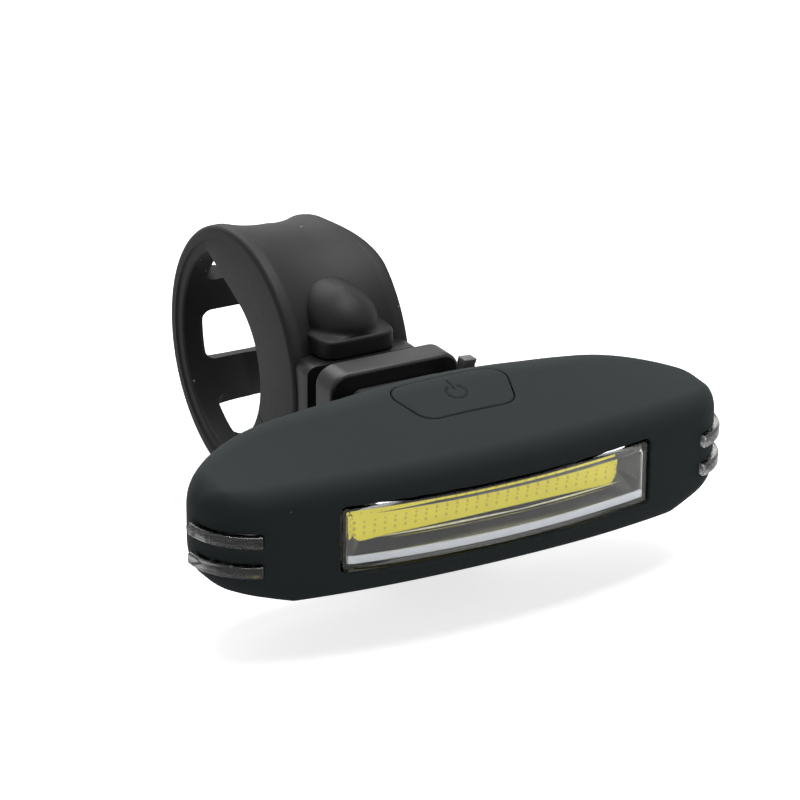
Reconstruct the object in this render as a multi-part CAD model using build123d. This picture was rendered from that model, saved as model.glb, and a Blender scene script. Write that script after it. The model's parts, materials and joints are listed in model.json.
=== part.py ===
from build123d import *
import math
import os

os.makedirs("parts", exist_ok=True)

# A slim bicycle headlight on a rubber ladder strap, in millimetres.
# The origin is on the handlebar's axis, halfway across the strap.
# X runs along the handlebar, the beam leaves towards -Y, and Z is up.

# Cuts run this far past the faces they open
overrun = 2.0
# Gap between seated pieces that don't move against each other
seat_gap = 0.05
# Gap beside pieces that slide past each other
slide_gap = 0.25
# Gap round pieces that swing or are pressed
swing_gap = 0.3

# Handlebar and strap ring
bar_radius = 12.7
strap_width = 20.5
bar_back_gap = 0.4
ring_up = 1.6
ring_inner_radius = 17.0
band_thickness = 4.0
valley_depth = 1.3
rim_crest = 1.1
rim_chamfer = 0.9
saddle_half_angle = 62.0
slot_width = 12.6
slot_length = 8.0
slot_corner = 1.5
slot_count = 4
first_slot_angle = 38.0
slot_pitch_angle = 47.0
tail_end_angle = -143.0
hood_width = 13.2
hood_lip_reach = 2.5
hood_lip_height = 2.8
hood_wall = 1.6
hood_round = 1.2
hood_rim_round = 0.5
dome_width = 9.8
dome_set_back = 0.8
dome_apex_back = 6.0
dome_height = 7.0
dome_level_count = 7
dome_tip_share = 0.12
tongue_height = 1.9

# Bracket between the strap and the light
base_plate_thickness = 3.0
base_plate_width = 19.6
base_plate_top = 8.3
base_plate_bottom = -9.5
neck_length = 4.6
neck_width = 12.0
neck_height = 13.0
block_thickness = 5.2
block_width = 22.2
block_height = 21.6
block_centre_z = -0.2
block_corner = 3.0
block_edge_round = 0.7
rail_gap = 4.7
rail_stem_width = 8.0
rail_stem_length = 2.2
rail_flange_width = 12.4
rail_flange_thickness = 1.7
rail_bottom = -8.0
rail_top = 5.5
arm_thickness = 2.1
hook_length = 4.0
hook_width = 10.6
hook_proud = 0.4
hook_lip = 0.9
arm_front_angle = 11.0
arm_back_angle = 9.0

# Release lever at the right of the block
lever_pivot_x = 10.6
lever_pivot_z = -2.0
lever_thickness = 2.1
lever_arm_width = 2.0
lever_eye_radius = 2.2
lever_tab_height = 12.6
lever_tab_lean = 0.4
lever_nose_drop = 6.2
lever_nose_height = 2.0
pin_radius = 0.8
pin_running_gap = 0.05
pin_head_radius = 1.4
pin_head_height = 0.4
ear_depth = 4.2
spring_wire = 0.3
spring_turns = 3
spring_pitch = 0.4
spring_radius = 1.25

# Light head
head_length = 86.9
head_depth = 27.9
head_mid_z = -1.4
front_radius = 125.0
end_radius = 9.5
shoulder_radius = 20.0
top_crest = 14.9
bottom_crest = 12.8
front_half_height = 10.0
front_low_half = 7.5
front_low_share = 0.45
crest_end_fall = 6.8
front_fall_share = 0.3
front_round = 3.4
back_round = 9.0
tip_round = 3.2
least_round = 0.8
front_round_share = 0.3
back_round_share = 0.46
back_height_share = 0.75
station_count = 11
tip_share = 0.996
cover_wall = 1.6
case_wall = 1.6

# Lens, reflector and light strip
lens_length = 52.0
lens_height = 10.4
lens_mid_z = -1.0
lens_proud = 0.6
lens_bevel = 1.2
lens_wall = 1.3
lens_depth = 5.5
lens_corner = 1.0
reflector_depth = 2.2
reflector_flange = 1.0
board_thickness = 1.0
board_inset = 1.0
board_height = 9.0
strip_length = 43.4
strip_height = 6.0
strip_thickness = 0.4
strip_lift = 0.9
strip_corner = 1.9

# End windows: two clear ribs on a curved plate at each end
window_front_angle = -70.0
window_back_angle = 1.0
window_proud = 0.9
rib_height = 1.9
rib_gap = 2.7
rib_drop = 0.5
window_plate_height = 9.4
window_flange_angle = 3.0

# Button
button_centre_y = -53.9
button_tilt = 8.0
button_back_width = 21.4
button_front_width = 15.0
button_depth = 10.4
button_corner = 3.0
button_gap = 0.35
button_travel = 0.5
plunger_radius = 2.4
stem_radius = 1.7
stem_running_gap = 0.05
switch_size = 6.2
switch_height = 3.4
stem_proud = 1.0

# Electronics and battery
pcb_end_inset = 12.45
pcb_depth = 13.0
pcb_thickness = 1.0
pcb_back_gap = 1.8
battery_end_inset = 12.0
battery_depth = 11.5
battery_height = 4.8
battery_corner = 1.5
battery_pad_inset = 1.6
rib_thickness = 1.2
usb_post_inset = 7.0
usb_width = 9.0
usb_height = 3.2
usb_length = 7.4
usb_shell = 0.35
usb_tongue = 0.7
usb_opening_margin = 0.4
flap_width = 12.6
flap_height = 6.0
flap_relief = 0.6
flap_thin = 0.5
flap_hinge_strip = 1.8
flap_stub_width = 7.8
flap_stub_height = 2.0
flap_stub_depth = 0.9
side_led_length = 3.2
side_led_width = 2.4
side_led_height = 1.9
side_led_pitch = 5.0

# Screws
post_radius = 2.3
post_end_inset = 5.0
post_pitch_y = 7.4
case_screw_radius = 0.9
case_screw_head = 1.8
case_screw_head_height = 1.1
case_screw_length = 10.0
shoe_screw_radius = 1.0
shoe_screw_head = 2.0
shoe_screw_head_height = 1.1
shoe_screw_length = 3.6
shoe_screw_pitch = 9.0
bracket_screw_radius = 1.5
bracket_screw_head = 2.9
bracket_screw_head_height = 1.5
bracket_screw_length = 13.0
driver_width = 0.6
driver_depth = 0.6

# Shoe on the back of the head
shoe_side_wall = 1.4
shoe_top_wall = 2.4
shoe_bottom = -9.0
shoe_lip_gap = 0.3
shoe_notch_depth = 1.1
shoe_corner = 1.5

# Sizes and places worked out from the sizes above
rim_radius = ring_inner_radius + band_thickness
valley_radius = rim_radius - valley_depth
ring_forward = ring_inner_radius - bar_radius - bar_back_gap
board_length = lens_length - 2 * board_inset
pcb_length = head_length - 2 * pcb_end_inset
post_x = pcb_length / 2 - post_end_inset
battery_length = pcb_length - 2 * battery_end_inset
usb_x = -(post_x - usb_post_inset)
ring_y = -ring_forward
ring_z = ring_up
strap_front = ring_y - rim_radius
base_front = strap_front - base_plate_thickness
block_back = base_front - neck_length
block_front = block_back - block_thickness
head_back = block_front - rail_gap
head_front = head_back - head_depth
front_centre_y = head_front + front_radius
end_x = head_length / 2 - end_radius
end_y = front_centre_y - math.sqrt((front_radius - end_radius) ** 2 - end_x**2)
shoulder_y = head_back - shoulder_radius
shoulder_reach = shoulder_radius - end_radius
shoulder_x = end_x - math.sqrt(shoulder_reach**2 - (end_y - shoulder_y) ** 2)
case_inset = cover_wall + seat_gap
cavity_inset = case_inset + case_wall
lens_back = head_front - lens_proud + lens_depth
reflector_back = lens_back + reflector_depth
board_back = reflector_back + board_thickness
case_back = head_back - case_inset
cavity_back = head_back - cavity_inset
pcb_back = cavity_back - pcb_back_gap
pcb_mid_y = pcb_back - pcb_depth / 2
pcb_bottom_z = head_mid_z
pcb_top_z = pcb_bottom_z + pcb_thickness
shoe_front = block_front - shoe_lip_gap
flange_front = block_front - rail_stem_length - rail_flange_thickness
pocket_front = flange_front - slide_gap
shoe_width = rail_flange_width + 2 * slide_gap + 2 * shoe_side_wall
shoe_top = rail_top + seat_gap + shoe_top_wall
lever_back = block_front - (spring_turns * spring_pitch + spring_wire + seat_gap)
lever_front = lever_back - lever_thickness
peel_angle = first_slot_angle - (slot_count - 1.5) * slot_pitch_angle
hook_angle = first_slot_angle - (slot_count - 1) * slot_pitch_angle


def across(profile, width):
    """Solid of a (y, z) profile, centred on X and width wide."""
    return extrude(Plane.YZ * profile, amount=width / 2, both=True)


def box_between(low, high):
    """Box from its lowest to its highest corner."""
    size = [b - a for a, b in zip(low, high)]
    middle = [(a + b) / 2 for a, b in zip(low, high)]
    return Pos(*middle) * Box(*size)


def both_sides(shape):
    """A solid and its mirror image across the YZ plane."""
    return shape + mirror(shape, Plane.YZ)


def facing_back(y, x=0, z=0):
    """Plane at y whose normal is +Y, with its own x along -X."""
    return Plane(origin=(x, y, z), x_dir=(-1, 0, 0), z_dir=(0, 1, 0))


def on_ring(radius, angle):
    """(y, z) point at a radius about the ring's centre, its angle counted from +Y."""
    turn = math.radians(angle)
    return (ring_y + radius * math.cos(turn), ring_z + radius * math.sin(turn))


def ring_sector(inner, outer, start, end):
    """(y, z) face between two radii about the ring's centre, from start to end."""
    middle = (start + end) / 2
    return make_face(
        [
            ThreePointArc(on_ring(outer, start), on_ring(outer, middle), on_ring(outer, end)),
            Line(on_ring(outer, end), on_ring(inner, end)),
            ThreePointArc(on_ring(inner, end), on_ring(inner, middle), on_ring(inner, start)),
            Line(on_ring(inner, start), on_ring(outer, start)),
        ]
    )


def radial_block(angle, width, length, corner, inner, outer):
    """Rounded block that stands radially on the ring at an angle, between two radii."""
    turn = math.radians(angle)
    y, z = on_ring(inner, angle)
    plane = Plane(origin=(0, y, z), x_dir=(1, 0, 0), z_dir=(0, math.cos(turn), math.sin(turn)))
    return extrude(plane * RectangleRounded(width, length, corner), amount=outer - inner)


def ring_form(gap):
    """The strap's whole outer form, a disc with two rims and a hollow band, grown by gap."""
    half = strap_width / 2
    rim = rim_radius + gap
    valley = valley_radius + gap
    shoulder = half - rim_chamfer - rim_crest
    plane = Plane(origin=(0, ring_y, ring_z), x_dir=(1, 0, 0), z_dir=(0, -1, 0))
    outline = make_face(
        [
            Line((-half, 0), (-half, rim - rim_chamfer)),
            Line((-half, rim - rim_chamfer), (-half + rim_chamfer, rim)),
            Line((-half + rim_chamfer, rim), (-shoulder, rim)),
            ThreePointArc((-shoulder, rim), (0, valley), (shoulder, rim)),
            Line((shoulder, rim), (half - rim_chamfer, rim)),
            Line((half - rim_chamfer, rim), (half, rim - rim_chamfer)),
            Line((half, rim - rim_chamfer), (half, 0)),
            Line((half, 0), (-half, 0)),
        ]
    )
    return revolve(plane * outline, axis=Axis((0, ring_y, ring_z), (1, 0, 0)))


def bar_opening():
    """(y, z) face of the ring's inside: the saddle on the bar, flared out to the ring."""
    turn = math.radians(180 - saddle_half_angle)
    touch_y = bar_radius * math.cos(turn)
    touch_z = bar_radius * math.sin(turn)
    run_y = math.sin(turn)
    run_z = -math.cos(turn)

    def meet(side):
        """Where the flare on one side meets the ring's inner circle."""
        off_y = touch_y - ring_y
        off_z = side * touch_z - ring_z
        along = off_y * run_y + off_z * side * run_z
        reach = -along + math.sqrt(along**2 - off_y**2 - off_z**2 + ring_inner_radius**2)
        return (touch_y + reach * run_y, side * (touch_z + reach * run_z))

    top = meet(1)
    bottom = meet(-1)
    return make_face(
        [
            ThreePointArc((touch_y, touch_z), (-bar_radius, 0), (touch_y, -touch_z)),
            Line((touch_y, -touch_z), bottom),
            ThreePointArc(bottom, (ring_y + ring_inner_radius, ring_z), top),
            Line(top, (touch_y, touch_z)),
        ]
    )


def ladder_slot(index):
    """One of the strap's slots, cut through the band."""
    angle = first_slot_angle - index * slot_pitch_angle
    inner = ring_inner_radius - overrun
    outer = rim_radius + overrun
    return radial_block(angle, slot_width, slot_length, slot_corner, inner, outer)


def hood():
    """Hood at the ring's front top: a lip over the bracket's tongue, and a dome on the lip."""
    lip_y = strap_front - hood_lip_reach
    root_y = ring_y - bar_radius
    low = base_plate_top + swing_gap
    half = hood_width / 2
    lip = box_between((-half, lip_y, low), (half, root_y, low + hood_lip_height))
    lip = fillet(lip.edges().filter_by(Axis.Z).group_by(Axis.Y)[0], hood_round)
    rim = lip.faces().sort_by(Axis.Z)[-1].edges().sort_by(Axis.Y)[:-1]
    return fillet(rim, hood_rim_round) + hood_dome(low + hood_lip_height - hood_rim_round)


def hood_dome(foot_z):
    """Dome of level ellipses, each smaller and further back, up to its top against the ring."""
    root_y = ring_y - bar_radius
    lip_y = strap_front - hood_lip_reach
    sections = []
    for level in range(dome_level_count):
        climb = math.sin(math.pi / 2 * level / dome_level_count)
        left = math.sqrt(1 - climb**2)
        front = lip_y + dome_apex_back + (dome_set_back - dome_apex_back) * left
        half = dome_width / 2 * (dome_tip_share + (1 - dome_tip_share) * left)
        place = Pos(0, root_y, foot_z + (dome_height + hood_rim_round) * climb)
        sections.append(place * Ellipse(half, root_y - front))
    return loft(sections)


def tongue_block(gap):
    """The bracket's tongue in the hood's lip, wider by gap at each side for its hollow."""
    half = neck_width / 2 - hood_wall + gap
    return box_between(
        (-half, strap_front - hood_lip_reach + hood_wall + swing_gap, base_plate_top - base_plate_thickness),
        (half, strap_front + base_plate_thickness, base_plate_top + tongue_height),
    )


def strap_ring():
    """Whole ring with its saddle, before it is split into the strap and its tail."""
    ring = ring_form(0) + hood()
    ring -= across(bar_opening(), strap_width + 2 * overrun)
    for index in range(slot_count):
        ring -= ladder_slot(index)
    return ring


def tail_zone(gap):
    """Space of the strap's loose tail outside the bracket's arm."""
    lag = math.degrees(gap / rim_radius)
    inner = ring_inner_radius - gap
    return across(
        ring_sector(inner, rim_radius + overrun, tail_end_angle - lag, peel_angle + lag),
        strap_width + 2 * overrun,
    )


def hook_arm(gap):
    """Bracket arm under the saddle, grown by gap for its groove in the rubber."""
    outer = ring_inner_radius - swing_gap + gap
    inner = outer - arm_thickness - 2 * gap
    start = tail_end_angle - arm_front_angle
    end = hook_angle + arm_back_angle + math.degrees(gap / rim_radius)
    return across(ring_sector(inner, outer, start, end), hook_width + 2 * gap)


def hook_web(gap):
    """Part of the arm that runs out of the ring to the base plate."""
    inner = ring_inner_radius - swing_gap - arm_thickness - gap
    start = tail_end_angle - arm_front_angle - math.degrees(gap / rim_radius)
    end = tail_end_angle - arm_front_angle / 3 + math.degrees(gap / rim_radius)
    return across(ring_sector(inner, rim_radius + overrun, start, end), hook_width + 2 * gap)


def make_strap():
    """Ring of the strap with the saddle and the hood, without its tail."""
    strap = strap_ring() - tail_zone(swing_gap)
    strap -= hook_arm(seat_gap)
    strap -= hook_web(seat_gap)
    return strap - tongue_block(swing_gap)


def make_strap_tail():
    """Loose end of the strap, with the slot that takes the bracket's hook."""
    return strap_ring() & tail_zone(0)


def make_mount_base():
    """Base plate that grips the strap: tongue above, arm and hook below."""
    plate = box_between(
        (-base_plate_width / 2, base_front, base_plate_bottom),
        (base_plate_width / 2, ring_y - bar_radius, base_plate_top),
    )
    corners = plate.edges().filter_by(Axis.Y)
    plate = fillet(corners, block_corner / 2)
    plate -= ring_form(seat_gap)
    neck = box_between(
        (-neck_width / 2, block_back, block_centre_z - neck_height / 2),
        (neck_width / 2, base_front, block_centre_z + neck_height / 2),
    )
    tongue = tongue_block(0) - ring_form(seat_gap)
    base = plate + neck + tongue + hook_arm(0) + hook_web(0)
    root = ring_inner_radius - swing_gap - arm_thickness
    tip = rim_radius + hook_proud
    hook = radial_block(hook_angle, hook_width, hook_length, least_round, root, tip)
    lip_start = valley_radius + hook_proud
    lip = radial_block(
        hook_angle - math.degrees(hook_lip / rim_radius),
        hook_width,
        hook_length,
        least_round,
        lip_start,
        tip,
    )
    screw_hole = Cylinder(bracket_screw_radius + seat_gap, bracket_screw_length)
    screw_mid = flange_front + bracket_screw_length / 2
    return base + hook + lip - facing_back(screw_mid, 0, block_centre_z) * screw_hole


def make_mount_block():
    """Glossy block with the rail that the head slides on and the lever's ear."""
    outline = RectangleRounded(block_width, block_height, block_corner)
    block = extrude(facing_back(block_front, 0, block_centre_z) * outline, amount=block_thickness)
    rims = block.edges().group_by(Axis.Y)[0] + block.edges().group_by(Axis.Y)[-1]
    block = fillet(rims, block_edge_round)
    stem = box_between(
        (-rail_stem_width / 2, block_front - rail_stem_length - rail_flange_thickness, rail_bottom),
        (rail_stem_width / 2, block_front + block_edge_round, rail_top),
    )
    flange = box_between(
        (-rail_flange_width / 2, flange_front, rail_bottom),
        (rail_flange_width / 2, flange_front + rail_flange_thickness, rail_top),
    )
    ear = extrude(
        facing_back(block_front, lever_pivot_x, lever_pivot_z) * Circle(lever_eye_radius),
        amount=ear_depth,
    )
    ear += box_between(
        (block_width / 2 - block_corner, block_front, lever_pivot_z - lever_eye_radius),
        (lever_pivot_x, block_front + ear_depth, lever_pivot_z + lever_eye_radius),
    )
    block = block + stem + flange + ear
    pin_hole = extrude(
        facing_back(block_front - overrun, lever_pivot_x, lever_pivot_z)
        * Circle(pin_radius + seat_gap / 2),
        amount=overrun + ear_depth - pin_head_height,
    )
    return block - pin_hole - screw_space(seat_gap)


def screw(head_radius, head_height, radius, length):
    """Countersunk cross screw along +Z, its head's face at the origin."""
    head = Cone(head_radius, radius, head_height, align=(Align.CENTER, Align.CENTER, Align.MIN))
    shaft = Cylinder(radius, length, align=(Align.CENTER, Align.CENTER, Align.MIN))
    body = head + shaft
    for turn in (0, 90):
        slot = Box(head_radius, driver_width, 2 * driver_depth)
        body -= Rot(0, 0, turn) * slot
    return body


def screw_space(gap):
    """Countersunk hole through the rail and block for the bracket's screw."""
    radius = bracket_screw_radius + gap
    head_radius = bracket_screw_head + gap
    place = facing_back(flange_front, 0, block_centre_z)
    align = (Align.CENTER, Align.CENTER, Align.MIN)
    head = Cone(head_radius, radius, bracket_screw_head_height, align=align)
    shaft = Cylinder(radius, bracket_screw_length + overrun, align=align)
    return place * head + place * shaft


def make_bracket_screw():
    """Screw that holds the block to the base."""
    body = screw(
        bracket_screw_head - seat_gap,
        bracket_screw_head_height,
        bracket_screw_radius,
        bracket_screw_length - overrun,
    )
    return facing_back(flange_front, 0, block_centre_z) * body


def make_release_lever():
    """Lever with an eye on its pin, a thumb tab above and a nose below."""
    half = lever_arm_width / 2
    lean = lever_tab_lean
    top = lever_tab_height
    eye = Circle(lever_eye_radius)
    arm = Polygon(
        (half, 0),
        (half, top - 3 * lean),
        (lean + half, top - lean / 2),
        (lean / 2 - half, top),
        (-half, top - 2 * lean),
        (-half, 0),
        align=None,
    )
    foot = Polygon(
        (half, 0),
        (-half, 0),
        (-half, -lever_nose_drop + lever_nose_height),
        (nose_tip_x, -lever_nose_drop + lever_nose_height - half),
        (nose_tip_x, -lever_nose_drop),
        (half, -lever_nose_drop),
        align=None,
    )
    outline = eye + arm + foot - Circle(pin_radius + pin_running_gap)
    plane = Plane(
        origin=(lever_pivot_x, lever_back, lever_pivot_z), x_dir=(1, 0, 0), z_dir=(0, -1, 0)
    )
    lever = extrude(plane * outline, amount=lever_thickness)
    return lever


# The nose stops short of the shoe's side, as seen from the lever's pivot
nose_tip_x = shoe_width / 2 + swing_gap - lever_pivot_x


def make_lever_pin():
    """Headed pin of the release lever, held in the block's ear."""
    align = (Align.CENTER, Align.CENTER, Align.MIN)
    head_y = lever_front - seat_gap - pin_head_height
    length = block_front + ear_depth - pin_head_height - head_y - overrun / 2
    shaft = Cylinder(pin_radius, length, align=align)
    head = Cylinder(pin_head_radius, pin_head_height, align=align)
    return facing_back(head_y, lever_pivot_x, lever_pivot_z) * (head + shaft)


def make_lever_spring():
    """Small coil round the pin between the lever and the ear."""
    helix = Helix(spring_pitch, spring_pitch * spring_turns, spring_radius)
    start = helix @ 0
    section = Plane(origin=start, z_dir=helix % 0) * Circle(spring_wire / 2)
    coil = sweep(section, path=helix)
    start_y = lever_back + spring_wire / 2 + seat_gap / 2
    return facing_back(start_y, lever_pivot_x, lever_pivot_z) * coil


def plan_limits(x, inset):
    """Front and back y of the head's plan at x, drawn in by inset.

    A flat arc runs along the front, a small one round the end and a wider one to the back.
    """
    x = abs(x)
    front_r = front_radius - inset
    end_r = end_radius - inset
    join_x = end_x * front_r / (front_radius - end_radius)
    if x <= join_x:
        front = front_centre_y - math.sqrt(front_r**2 - x**2)
    else:
        front = end_y - math.sqrt(end_r**2 - (x - end_x) ** 2)
    shoulder_r = shoulder_radius - inset
    shoulder_end = shoulder_x + shoulder_r * (end_x - shoulder_x) / shoulder_reach
    if x <= shoulder_x:
        back = head_back - inset
    elif x <= shoulder_end:
        back = shoulder_y + math.sqrt(shoulder_r**2 - (x - shoulder_x) ** 2)
    else:
        back = end_y + math.sqrt(end_r**2 - (x - end_x) ** 2)
    return front, back


def rounded_outline(points, radii):
    """Edges of a closed outline whose corners are rounded, each by its own radius."""
    corners = []
    count = len(points)
    for index, radius in enumerate(radii):
        corner = Vector(*points[index])
        to_last = (Vector(*points[index - 1]) - corner).normalized()
        to_next = (Vector(*points[(index + 1) % count]) - corner).normalized()
        half_angle = math.radians(to_last.get_angle(to_next)) / 2
        inward = (to_last + to_next).normalized()
        reach = radius / math.tan(half_angle)
        centre = corner + inward * (radius / math.sin(half_angle))
        corners.append((corner + to_last * reach, centre - inward * radius, corner + to_next * reach))
    edges = []
    for index, (start, middle, end) in enumerate(corners):
        edges.append(Line(corners[index - 1][2], start))
        edges.append(ThreePointArc(start, middle, end))
    return edges


def head_section(x, inset):
    """Face across the head at x: four lines and four rounds in the YZ plane."""
    half = head_length / 2 - inset
    front, back = plan_limits(x, inset)
    depth = back - front
    fall = crest_end_fall * (2 * x / head_length) ** 2
    edge_r = tip_round
    past = max(0, abs(x) - (half - edge_r))
    tip = edge_r - math.sqrt(edge_r**2 - past**2)
    front_half = front_half_height - inset - front_fall_share * fall - tip
    front_r = min(max(front_round - inset, least_round), front_round_share * depth)
    back_r = min(max(back_round - inset, least_round), back_round_share * depth)
    back_r = min(back_r, back_height_share * (bottom_crest - inset - fall - tip))
    low_half = min(front_low_half + front_low_share * fall, bottom_crest - fall) - inset - tip
    heights = []
    for crest, start in ((top_crest, front_half), (bottom_crest, low_half)):
        crest_half = crest - inset - fall - tip
        slope = (crest_half - start) / (depth - back_r)
        heights.append(start + slope * depth)
    points = [
        (x, front, head_mid_z - low_half),
        (x, front, head_mid_z + front_half),
        (x, back, head_mid_z + heights[0]),
        (x, back, head_mid_z - heights[1]),
    ]
    return make_face(rounded_outline(points, (front_r, front_r, back_r, back_r)))


head_forms = {}


def head_form(inset):
    """The head's whole form as a loft along X, drawn in by inset, its stations closer at the ends."""
    if inset not in head_forms:
        reach = (head_length / 2 - inset) * tip_share
        sections = []
        for index in range(-station_count, station_count + 1):
            x = reach * math.sin(math.pi / 2 * index / station_count)
            sections.append(head_section(x, inset))
        head_forms[inset] = loft(sections, ruled=True)
    return head_forms[inset]


def end_sector(inner, outer, start, end, low, high):
    """Curved block about the right end's centre, between two radii, angles and heights."""

    def at(radius, angle):
        """(x, y) point about the end's centre, its angle counted from +X."""
        turn = math.radians(angle)
        return (end_x + radius * math.cos(turn), end_y + radius * math.sin(turn))

    middle = (start + end) / 2
    face = make_face(
        [
            ThreePointArc(at(outer, start), at(outer, middle), at(outer, end)),
            Line(at(outer, end), at(inner, end)),
            ThreePointArc(at(inner, end), at(inner, middle), at(inner, start)),
            Line(at(inner, start), at(outer, start)),
        ]
    )
    return extrude(Pos(0, 0, low) * face, amount=high - low)


def rib_limits():
    """Lowest and highest z of each of the two ribs of an end window."""
    middle = head_mid_z - rib_drop
    low_rib = (middle - rib_gap / 2 - rib_height, middle - rib_gap / 2)
    high_rib = (middle + rib_gap / 2, middle + rib_gap / 2 + rib_height)
    return low_rib, high_rib


def end_window(gap):
    """Right end window: a curved plate with two ribs, grown by gap for its openings."""
    lag = math.degrees(gap / end_radius)
    start = window_front_angle - lag
    end = window_back_angle + lag
    plate_r = end_radius - case_inset + (swing_gap if gap else -seat_gap)
    low = head_mid_z - rib_drop - window_plate_height / 2 - gap
    high = head_mid_z - rib_drop + window_plate_height / 2 + gap
    window = end_sector(
        end_radius - cavity_inset - (2 * swing_gap if gap else 0),
        plate_r,
        start - window_flange_angle,
        end + window_flange_angle,
        low,
        high,
    )
    if not gap:
        window &= head_form(case_inset + seat_gap)
    for bottom, top in rib_limits():
        rib_r = end_radius + window_proud + gap
        window += end_sector(plate_r - swing_gap, rib_r, start, end, bottom - gap, top + gap)
    return window


def make_end_window():
    """Right end window with its ribs' long edges rounded."""
    window = end_window(0)
    rib_r = end_radius + window_proud
    rims = window.edges().filter_by(
        lambda e: e.geom_type == GeomType.CIRCLE and abs(e.radius - rib_r) < seat_gap
    )
    return fillet(rims, window_proud / 2)


def lens_plan(proud, half_length, back):
    """(x, y) face from the bowed front, standing proud of the head, to a flat back."""
    radius = front_radius + proud
    side_y = front_centre_y - math.sqrt(radius**2 - half_length**2)
    return make_face(
        [
            ThreePointArc(
                (-half_length, side_y), (0, front_centre_y - radius), (half_length, side_y)
            ),
            Line((half_length, side_y), (half_length, back)),
            Line((half_length, back), (-half_length, back)),
            Line((-half_length, back), (-half_length, side_y)),
        ]
    )


def lens_block(gap):
    """The lens's outer block, grown by gap for its opening."""
    half = lens_length / 2 + gap
    height = lens_height + 2 * gap
    plan = lens_plan(lens_proud + (overrun if gap else 0), half, lens_back + gap)
    block = extrude(Pos(0, 0, lens_mid_z - height / 2) * plan, amount=height)
    if gap:
        return block
    front_face = block.faces().filter_by(GeomType.CYLINDER).sort_by(SortBy.AREA)[-1]
    block = chamfer(front_face.edges(), lens_bevel)
    side_edges = block.edges().filter_by(GeomType.LINE).filter_by(Axis.Y)
    return fillet(side_edges, lens_corner)


def make_front_lens():
    """Clear bowed lens, a shallow box open at its back."""
    half = lens_length / 2 - lens_wall
    height = lens_height - 2 * lens_wall
    plan = lens_plan(lens_proud - lens_wall, half, lens_back + overrun)
    hollow = extrude(Pos(0, 0, lens_mid_z - height / 2) * plan, amount=height)
    return lens_block(0) - hollow


def reflector_outline(gap):
    """Box of the reflector, or with a gap the pocket in the case for it and its board."""
    half_length = lens_length / 2 + reflector_flange + gap
    half_height = lens_height / 2 + reflector_flange + gap
    back = board_back + gap if gap else reflector_back
    return box_between(
        (-half_length, lens_back - gap, lens_mid_z - half_height),
        (half_length, back, lens_mid_z + half_height),
    )


def make_reflector():
    """White frame between the lens and the light board, its floor sloping to the strip."""
    front_length = lens_length - 2 * lens_wall
    front_height = lens_height - 2 * lens_wall
    back_length = strip_length + 2 * seat_gap
    back_height = strip_height + 2 * seat_gap
    front_plane = facing_back(lens_back, 0, lens_mid_z)
    back_plane = facing_back(reflector_back, 0, lens_mid_z + strip_lift)
    opening = loft(
        [
            front_plane * RectangleRounded(front_length, front_height, least_round),
            back_plane * RectangleRounded(back_length, back_height, strip_corner),
        ]
    )
    return reflector_outline(0) - opening


def make_light_board():
    """Aluminium board that carries the light strip."""
    half = board_height / 2
    return box_between(
        (-board_length / 2, reflector_back, lens_mid_z + strip_lift - half),
        (board_length / 2, board_back, lens_mid_z + strip_lift + half),
    )


def make_light_strip():
    """Yellow phosphor strip on the front of its board."""
    outline = RectangleRounded(strip_length, strip_height, strip_corner)
    start = facing_back(reflector_back - strip_thickness, 0, lens_mid_z + strip_lift)
    return extrude(start * outline, amount=strip_thickness)


def button_prism(gap, low, high):
    """Prism of the button's outline along its travel, grown by gap."""
    tilt = math.radians(button_tilt)
    normal = (0, -math.sin(tilt), math.cos(tilt))
    centre = (0, button_centre_y, head_mid_z)
    plane = Plane(origin=centre, x_dir=(1, 0, 0), z_dir=normal)
    back = button_back_width / 2
    front = button_front_width / 2
    half = button_depth / 2
    outline = Polygon((-front, -half), (front, -half), (back, half), (-back, half), align=None)
    outline = fillet(outline.vertices(), button_corner)
    if gap:
        outline = offset(outline, gap)
    return extrude(plane.offset(low) * outline, amount=high - low)


def button_line(radius, low, high):
    """Round post on the button's line of travel, between two heights over the middle."""
    tilt = math.radians(button_tilt)
    plane = Plane(
        origin=(0, button_centre_y, head_mid_z),
        x_dir=(1, 0, 0),
        z_dir=(0, -math.sin(tilt), math.cos(tilt)),
    )
    return extrude(plane.offset(low) * Circle(radius), amount=high - low)


# Heights on the button's line of travel, over the head's middle
switch_top = switch_height + pcb_top_z - head_mid_z
switch_stem_top = switch_top + stem_proud


def usb_space(gap):
    """Box of the rubber flap in the cover, grown by gap below and beside it."""
    low = (usb_x - flap_width / 2 - gap, head_back - cover_wall - gap, flap_low_z - gap)
    top = flap_low_z + flap_height
    relief = flap_relief if gap else 0
    high = (usb_x + flap_width / 2 + gap, head_back + overrun, top + relief)
    return box_between(low, high)


# The flap is centred on the socket's mouth
flap_low_z = pcb_top_z + usb_height / 2 - flap_height / 2


def make_silicone_cover():
    """Soft skin round the head, with openings for lens, ribs, button, socket and shoe."""
    cover = head_form(0) - head_form(cover_wall)
    cuts = [
        lens_block(2 * seat_gap),
        button_prism(button_gap, 0, top_crest + overrun),
        usb_space(slide_gap),
        shoe_block(slide_gap),
    ]
    for bottom, top in rib_limits():
        slot = end_sector(
            end_radius - cavity_inset,
            end_radius + overrun,
            window_front_angle - 1,
            window_back_angle + 1,
            bottom - seat_gap,
            top + seat_gap,
        )
        cuts.append(both_sides(slot))
    cover -= cuts
    return cover


def make_power_button():
    """Soft button, the island of the skin inside its groove."""
    skin = head_form(0) - head_form(cover_wall)
    island = skin & button_prism(0, 0, top_crest + overrun)
    return island


def make_button_plunger():
    """Rigid post from the soft button to the switch."""
    post = button_line(plunger_radius, switch_stem_top, top_crest)
    post &= head_form(cover_wall)
    return post


def make_switch_stem():
    """Moving stem of the push switch."""
    return button_line(stem_radius, switch_top - 2 * stem_proud, switch_stem_top)


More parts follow.
